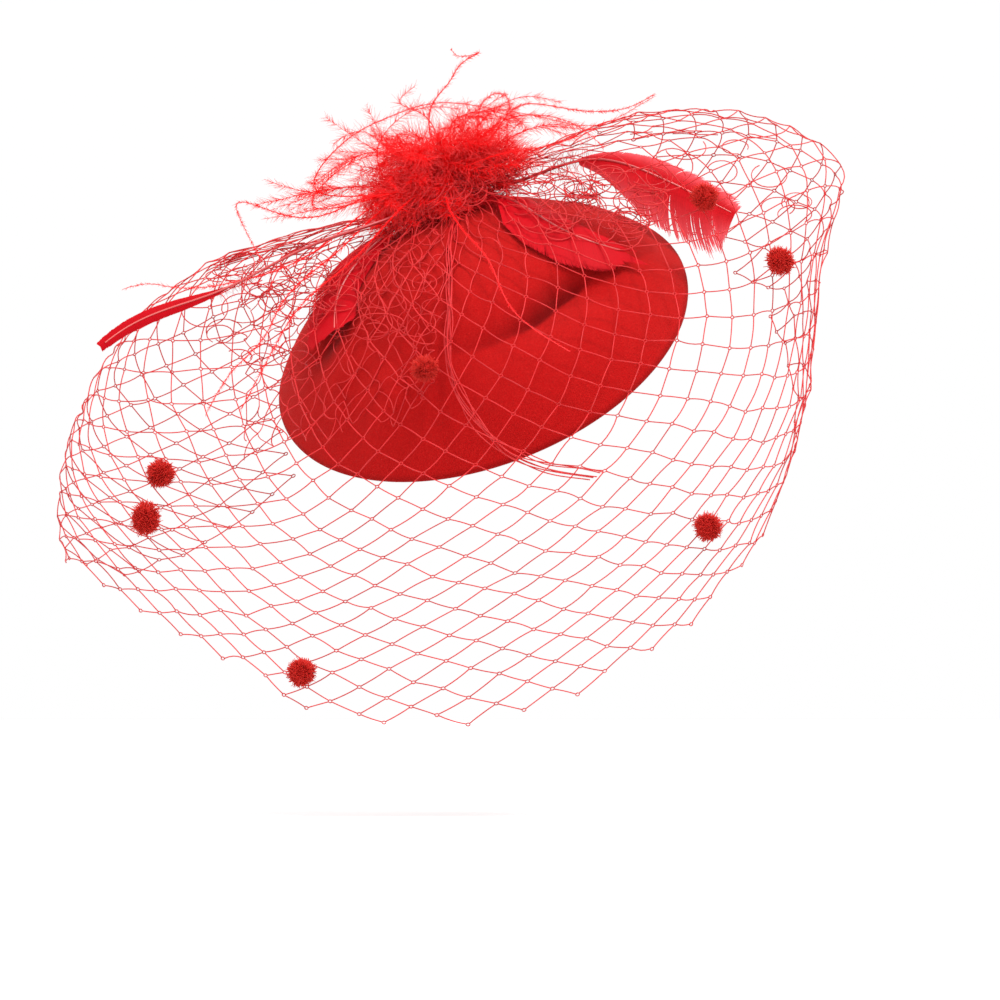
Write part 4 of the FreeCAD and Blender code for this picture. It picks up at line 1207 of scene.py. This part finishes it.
def puff_mesh(name, seed, count):
    """Marabou: soft plumes from the binding, each with long fine barbs."""
    spread, levels, lean = PUFFS[name]
    rng = np.random.default_rng(seed)
    threads = Threads()
    for k in range(count):
        angle = k * GOLDEN_TURN + rng.normal() * 0.2
        flat = rng.uniform(0.3, 1.0) ** 0.7
        level = rng.uniform(*levels)
        around = RIGHT * math.cos(angle) + REAR * math.sin(angle)
        way = (RIGHT * (math.cos(angle) * spread[0] * flat + lean[0])
               + REAR * (math.sin(angle) * spread[1] * flat + lean[1]) + UP * (spread[2] * level))
        start = ROOT - UP * rng.uniform(0.5, 3.0) + around * 2.5
        middle = start + way * 0.5 + UP * rng.uniform(3, 6) + rng.normal(size=3) * 1.5
        end = start + way + UP * rng.uniform(-3, 4) + rng.normal(size=3) * 2.0
        aside = RIGHT * math.cos(angle + 1.2) + REAR * math.sin(angle + 1.2)
        curl = end + aside * rng.uniform(2, 6) - UP * 1.5
        line = clear_of_crown(smooth([start, middle, end, curl], 22), 3.5)
        barbed(threads, line, rng, rng.uniform(5.5, 9.0), 0.55, 0.75, 0.1, 0.095, 4, bare=0.04)
    obj = threads.build(name, mat("fluff"))
    return finish_piece(obj, "fluff", *(["marabou_puff"] if name == "marabou_down" else []))


# Long stripped ostrich strands that arch over the puff, with soft barbs standing
# off them: each strand's line and its barbs' length
ARCS = [
    ([(-11, 14, 56), (-40, 14, 52), (-58.5, 14, 54.6), (-47.7, 12, 71), (-33.4, 11, 79), (-17.4, 10, 84),
      (1, 9, 82.5), (20.5, 8, 79), (41, 7, 76.6), (50.8, 6, 81), (59.5, 4, 86)], 2.6),
    ([(-12, 14, 58), (-34, 9, 58), (-37, 8, 66), (-32, 8, 76), (-22, 8, 82), (-8, 7, 82)], 5.5),
    ([(-10, 12, 58), (-38, 6, 50), (-60, 4, 49), (-50, 5, 62), (-32, 6, 67), (-14, 7, 69)], 5.5),
    ([(-10, 14, 60), (-16, 6, 72), (-20, 4, 79), (-29, 3, 84), (-24, 2, 90)], 4.5),
    ([(-8, 14, 60), (4, 8, 76), (18, 4, 80), (33, 2, 76), (42, 0, 68)], 3.0),
    ([(-12, 12, 56), (-36, 4, 52), (-60, 2, 46), (-76, 3, 44)], 3.6),
    ([(-10, 10, 60), (4, 0, 66), (22, -4, 68), (36, -4, 74)], 3.2),
    ([(-12, 14, 60), (-30, 10, 66), (-44, 8, 74), (-52, 8, 70)], 4.5),
    ([(-8, 12, 62), (0, 4, 78), (14, 0, 86), (27, -2, 84)], 3.4),
]


def arcs_mesh():
    """The strands that arch over the puff."""
    rng = np.random.default_rng(120)
    threads = Threads()
    for points, barb in ARCS:
        barbed(threads, swayed(points, 90, 7, 0.5, rng), rng, barb, 0.5, 0.8, 0.24, 0.07, 5, bare=0.1)
    return finish_piece(threads.build("ostrich_arcs", mat("fluff")), "fluff")


# --------------------------------------------------------------------------
# Stage
# --------------------------------------------------------------------------

FLOOR_R = 2600.0
PAPER_TONES = (0.66, 0.66, 0.66, 1), (0.7, 0.7, 0.7, 1)
# Each lamp's place, its width, and its share of the main light's power
LAMPS = {"key_light": ((0.55, -0.7, 2.0), 0.5, 1.0), "side_light": ((-1.8, -0.9, 0.5), 1.0, 0.15),
         "rim_light": ((0.2, 1.7, 1.3), 1.0, 0.2)}
CAMERA_AWAY, CAMERA_X, CAMERA_Z = 6.0, 0.0059, -0.0543
PICTURE_WIDTH, SENSOR_MM = 0.348, 36.0


def floor_object(drop):
    """A round sheet of paper under the headpiece."""
    rings, turn = 14, 96
    angle = np.linspace(0, 2 * math.pi, turn, endpoint=False)
    radii = np.linspace(0.02, 1, rings) * FLOOR_R
    verts = np.stack([np.outer(radii, np.cos(angle)), np.outer(radii, np.sin(angle)),
                      np.full((rings, turn), (CAD_BOX[0][2] - drop) * PER_METRE)], -1).reshape(-1, 3)
    index, faces = ring_faces(rings, turn)
    paper = bpy.data.materials.new("Studio paper")
    paper.use_nodes = True
    shader = paper.node_tree.nodes["Principled BSDF"]
    grain = node(paper.node_tree, "ShaderNodeTexNoise", Scale=40.0, Detail=3.0)
    tone = mix_colour(paper.node_tree, grain.outputs["Fac"], *PAPER_TONES)
    feed(paper.node_tree, (tone, shader.inputs["Base Color"]), (0.9, shader.inputs["Roughness"]))
    mesh_object("studio_floor", verts, [(faces, 0), (index[:1], 0)], None, [paper])


def surroundings(fill):
    """Even white light from all round, stronger from overhead."""
    world = bpy.context.scene.world or bpy.data.worlds.new("Studio")
    bpy.context.scene.world = world
    world.use_nodes = True
    tree = world.node_tree
    back = tree.nodes["Background"]
    split = tree.nodes.new("ShaderNodeSeparateXYZ")
    feed(tree, (tree.nodes.new("ShaderNodeTexCoord").outputs["Generated"], split.inputs["Vector"]))
    overhead = maths(tree, "POWER", maths(tree, "MAXIMUM", split.outputs["Z"], 0.0), 1.5)
    feed(tree, (plus(tree, fill, times(tree, overhead, 0.9)), back.inputs["Strength"]),
         ((1.0, 1.0, 1.0, 1), back.inputs["Color"]))


def stage_objects(settings):
    """Floor, surroundings, lamps and camera."""
    floor_object(settings.floor_drop)
    surroundings(settings.fill)
    for name, (place, size, share) in LAMPS.items():
        light = bpy.data.lights.new(name, "AREA")
        light.size, light.energy = size, settings.key * share
        lamp = add_object(name, light)
        lamp.location = place
        lamp.rotation_euler = Vector(unit(-np.array(place))).to_track_quat("-Z", "Y").to_euler()
    camera = bpy.data.cameras.new("camera")
    camera.sensor_width, camera.lens = SENSOR_MM, SENSOR_MM * CAMERA_AWAY / PICTURE_WIDTH
    camera.clip_start, camera.clip_end = 0.1, 60.0
    view = add_object("camera", camera)
    view.location = (CAMERA_X, -CAMERA_AWAY, CAMERA_Z)
    view.rotation_euler = (math.radians(90), 0, 0)
    bpy.context.scene.camera = view
    bpy.context.scene.view_settings.view_transform = "Standard"


# --------------------------------------------------------------------------
# Settings, operators and panel
# --------------------------------------------------------------------------

class FascinatorStage(bpy.types.PropertyGroup):
    floor_drop: bpy.props.FloatProperty(
        name="Floor Drop", description="Gap between the headpiece and the floor", default=0.03,
        min=0.0, subtype="DISTANCE", unit="LENGTH")
    key: bpy.props.FloatProperty(
        name="Key Light", description="Power of the main soft light", default=36.0, min=0.0,
        subtype="POWER", unit="POWER")
    fill: bpy.props.FloatProperty(
        name="Fill", description="Brightness of the surroundings", default=1.0, min=0.0)


def dye(name, description, *colour):
    """A colour that a user may change, from its 8-bit default."""
    return bpy.props.FloatVectorProperty(
        name=name, description=description, size=4, subtype="COLOR", min=0.0, max=1.0,
        default=linear(*colour))


class FascinatorDyes(bpy.types.PropertyGroup):
    felt: dye("Felt", "Colour of the crown's wool felt", 172, 13, 14)
    veiling: dye("Veiling", "Colour of the net's thread", 198, 30, 34)
    chenille: dye("Chenille", "Colour of the dots on the net", 184, 15, 12)
    feathers: dye("Feathers", "Colour of the goose feathers", 172, 8, 20)
    plumes: dye("Plumes", "Colour of the puff, fronds and wisps", 255, 11, 15)


class FascinatorCrown(bpy.types.PropertyGroup):
    hairs: bpy.props.IntProperty(
        name="Nap Hairs", description="Loose hairs on the felt", default=9000, min=0)


class FascinatorVeil(bpy.types.PropertyGroup):
    mesh_side: bpy.props.FloatProperty(
        name="Mesh Side", description="Length of one side of a net diamond", default=0.011,
        min=0.004, subtype="DISTANCE", unit="LENGTH")
    thread_radius: bpy.props.FloatProperty(
        name="Thread Radius", description="Radius of the netting thread", default=0.00021,
        min=0.0001, subtype="DISTANCE", unit="LENGTH")
    columns: bpy.props.IntProperty(
        name="Columns", description="Net diamonds along the strip", default=31, min=8)


class FascinatorPlumage(bpy.types.PropertyGroup):
    fibres: bpy.props.IntProperty(
        name="Dot Fibres", description="Fibres in each chenille dot", default=1300, min=50)
    plumes: bpy.props.IntProperty(
        name="Puff Plumes", description="Soft plumes in the puff", default=64, min=4)


class FASCINATOR_OT_stage(bpy.types.Operator):
    """Make the floor, the lights and the camera"""
    bl_idname = "fascinator.stage"
    bl_label = "Stage"

    def execute(self, context):
        stage_objects(context.scene.fascinator_stage)
        return {"FINISHED"}


class FASCINATOR_OT_crown(bpy.types.Operator):
    """Make the pressed felt crown and its nap"""
    bl_idname = "fascinator.crown"
    bl_label = "Felt Crown"

    def execute(self, context):
        crown_mesh()
        crown_nap(context.scene.fascinator_crown.hairs)
        return {"FINISHED"}


class FASCINATOR_OT_fittings(bpy.types.Operator):
    """Finish the clip, and make its pad, its stitches and the trimming's felt disc"""
    bl_idname = "fascinator.fittings"
    bl_label = "Clip and Felts"

    def execute(self, context):
        for name in ("clip_plate", "clip_pin", "clip_fork"):
            dress(name, "clip_metal")
        spring_mesh()
        felt_cut("clip_pad_felt", "clip_pad", 2600, 21)
        felt_cut("trim_disc_felt", "trim_disc", 1800, 22)
        stitches_mesh()
        return {"FINISHED"}


class FASCINATOR_OT_binding(bpy.types.Operator):
    """Make the stems' binding and the veil's gathering thread"""
    bl_idname = "fascinator.binding"
    bl_label = "Bindings"

    def execute(self, context):
        binding_mesh()
        gather_mesh()
        return {"FINISHED"}


class FASCINATOR_OT_veil(bpy.types.Operator):
    """Make the knotted net"""
    bl_idname = "fascinator.veil"
    bl_label = "Veil"

    def execute(self, context):
        veil_mesh(context.scene.fascinator_veil)
        return {"FINISHED"}


class FASCINATOR_OT_dots(bpy.types.Operator):
    """Make the chenille dots on the net"""
    bl_idname = "fascinator.dots"
    bl_label = "Dots"

    def execute(self, context):
        for k, name in enumerate(DOTS):
            dot_mesh(name, 40 + k, context.scene.fascinator_plumage.fibres)
        return {"FINISHED"}


class FASCINATOR_OT_feathers(bpy.types.Operator):
    """Make the four goose feathers"""
    bl_idname = "fascinator.feathers"
    bl_label = "Goose Feathers"

    def execute(self, context):
        for k, name in enumerate(FEATHERS):
            feather_mesh(name, 60 + k)
        return {"FINISHED"}


class FASCINATOR_OT_plumes(bpy.types.Operator):
    """Make the ostrich fronds and the stripped wisps"""
    bl_idname = "fascinator.plumes"
    bl_label = "Fronds and Wisps"

    def execute(self, context):
        for k, name in enumerate(PLUMES):
            plume_mesh(name, 80 + k)
        return {"FINISHED"}


class FASCINATOR_OT_puff(bpy.types.Operator):
    """Make the marabou puff and the strands that arch over it"""
    bl_idname = "fascinator.puff"
    bl_label = "Marabou Puff"

    def execute(self, context):
        for k, name in enumerate(PUFFS):
            puff_mesh(name, 101 + k, context.scene.fascinator_plumage.plumes)
        arcs_mesh()
        return {"FINISHED"}


class FASCINATOR_PT_panel(bpy.types.Panel):
    bl_label = "Fascinator"
    bl_idname = "FASCINATOR_PT_panel"
    bl_space_type = "VIEW_3D"
    bl_region_type = "UI"
    bl_category = "Fascinator"

    def draw(self, context):
        scene = context.scene
        for label, group, names, actions in (
                ("Stage", scene.fascinator_stage, ("floor_drop", "key", "fill"), ("stage",)),
                ("Dyes", scene.fascinator_dyes, ("felt", "veiling", "chenille", "feathers", "plumes"), ()),
                ("Crown", scene.fascinator_crown, ("hairs",), ("crown", "fittings", "binding")),
                ("Veil", scene.fascinator_veil, ("mesh_side", "thread_radius", "columns"), ("veil",)),
                ("Plumage", scene.fascinator_plumage, ("fibres", "plumes"),
                 ("dots", "feathers", "plumes", "puff"))):
            box = self.layout.box()
            box.label(text=label)
            for name in names:
                box.prop(group, name)
            for action in actions:
                box.operator("fascinator." + action)


GROUPS = {"fascinator_stage": FascinatorStage, "fascinator_dyes": FascinatorDyes,
          "fascinator_crown": FascinatorCrown, "fascinator_veil": FascinatorVeil,
          "fascinator_plumage": FascinatorPlumage}
OPERATORS = (FASCINATOR_OT_stage, FASCINATOR_OT_crown, FASCINATOR_OT_fittings, FASCINATOR_OT_binding,
             FASCINATOR_OT_veil, FASCINATOR_OT_dots, FASCINATOR_OT_feathers, FASCINATOR_OT_plumes,
             FASCINATOR_OT_puff)


def register():
    for name, group in GROUPS.items():
        bpy.utils.register_class(group)
        setattr(bpy.types.Scene, name, bpy.props.PointerProperty(type=group))
    for made in OPERATORS + (FASCINATOR_PT_panel,):
        bpy.utils.register_class(made)


def unregister():
    for made in reversed(OPERATORS + (FASCINATOR_PT_panel,)):
        bpy.utils.unregister_class(made)
    for name, group in reversed(GROUPS.items()):
        delattr(bpy.types.Scene, name)
        bpy.utils.unregister_class(group)


def main():
    register()
    for made in OPERATORS:
        getattr(bpy.ops.fascinator, made.bl_idname.split(".")[1])()


if __name__ == "__main__":
    main()
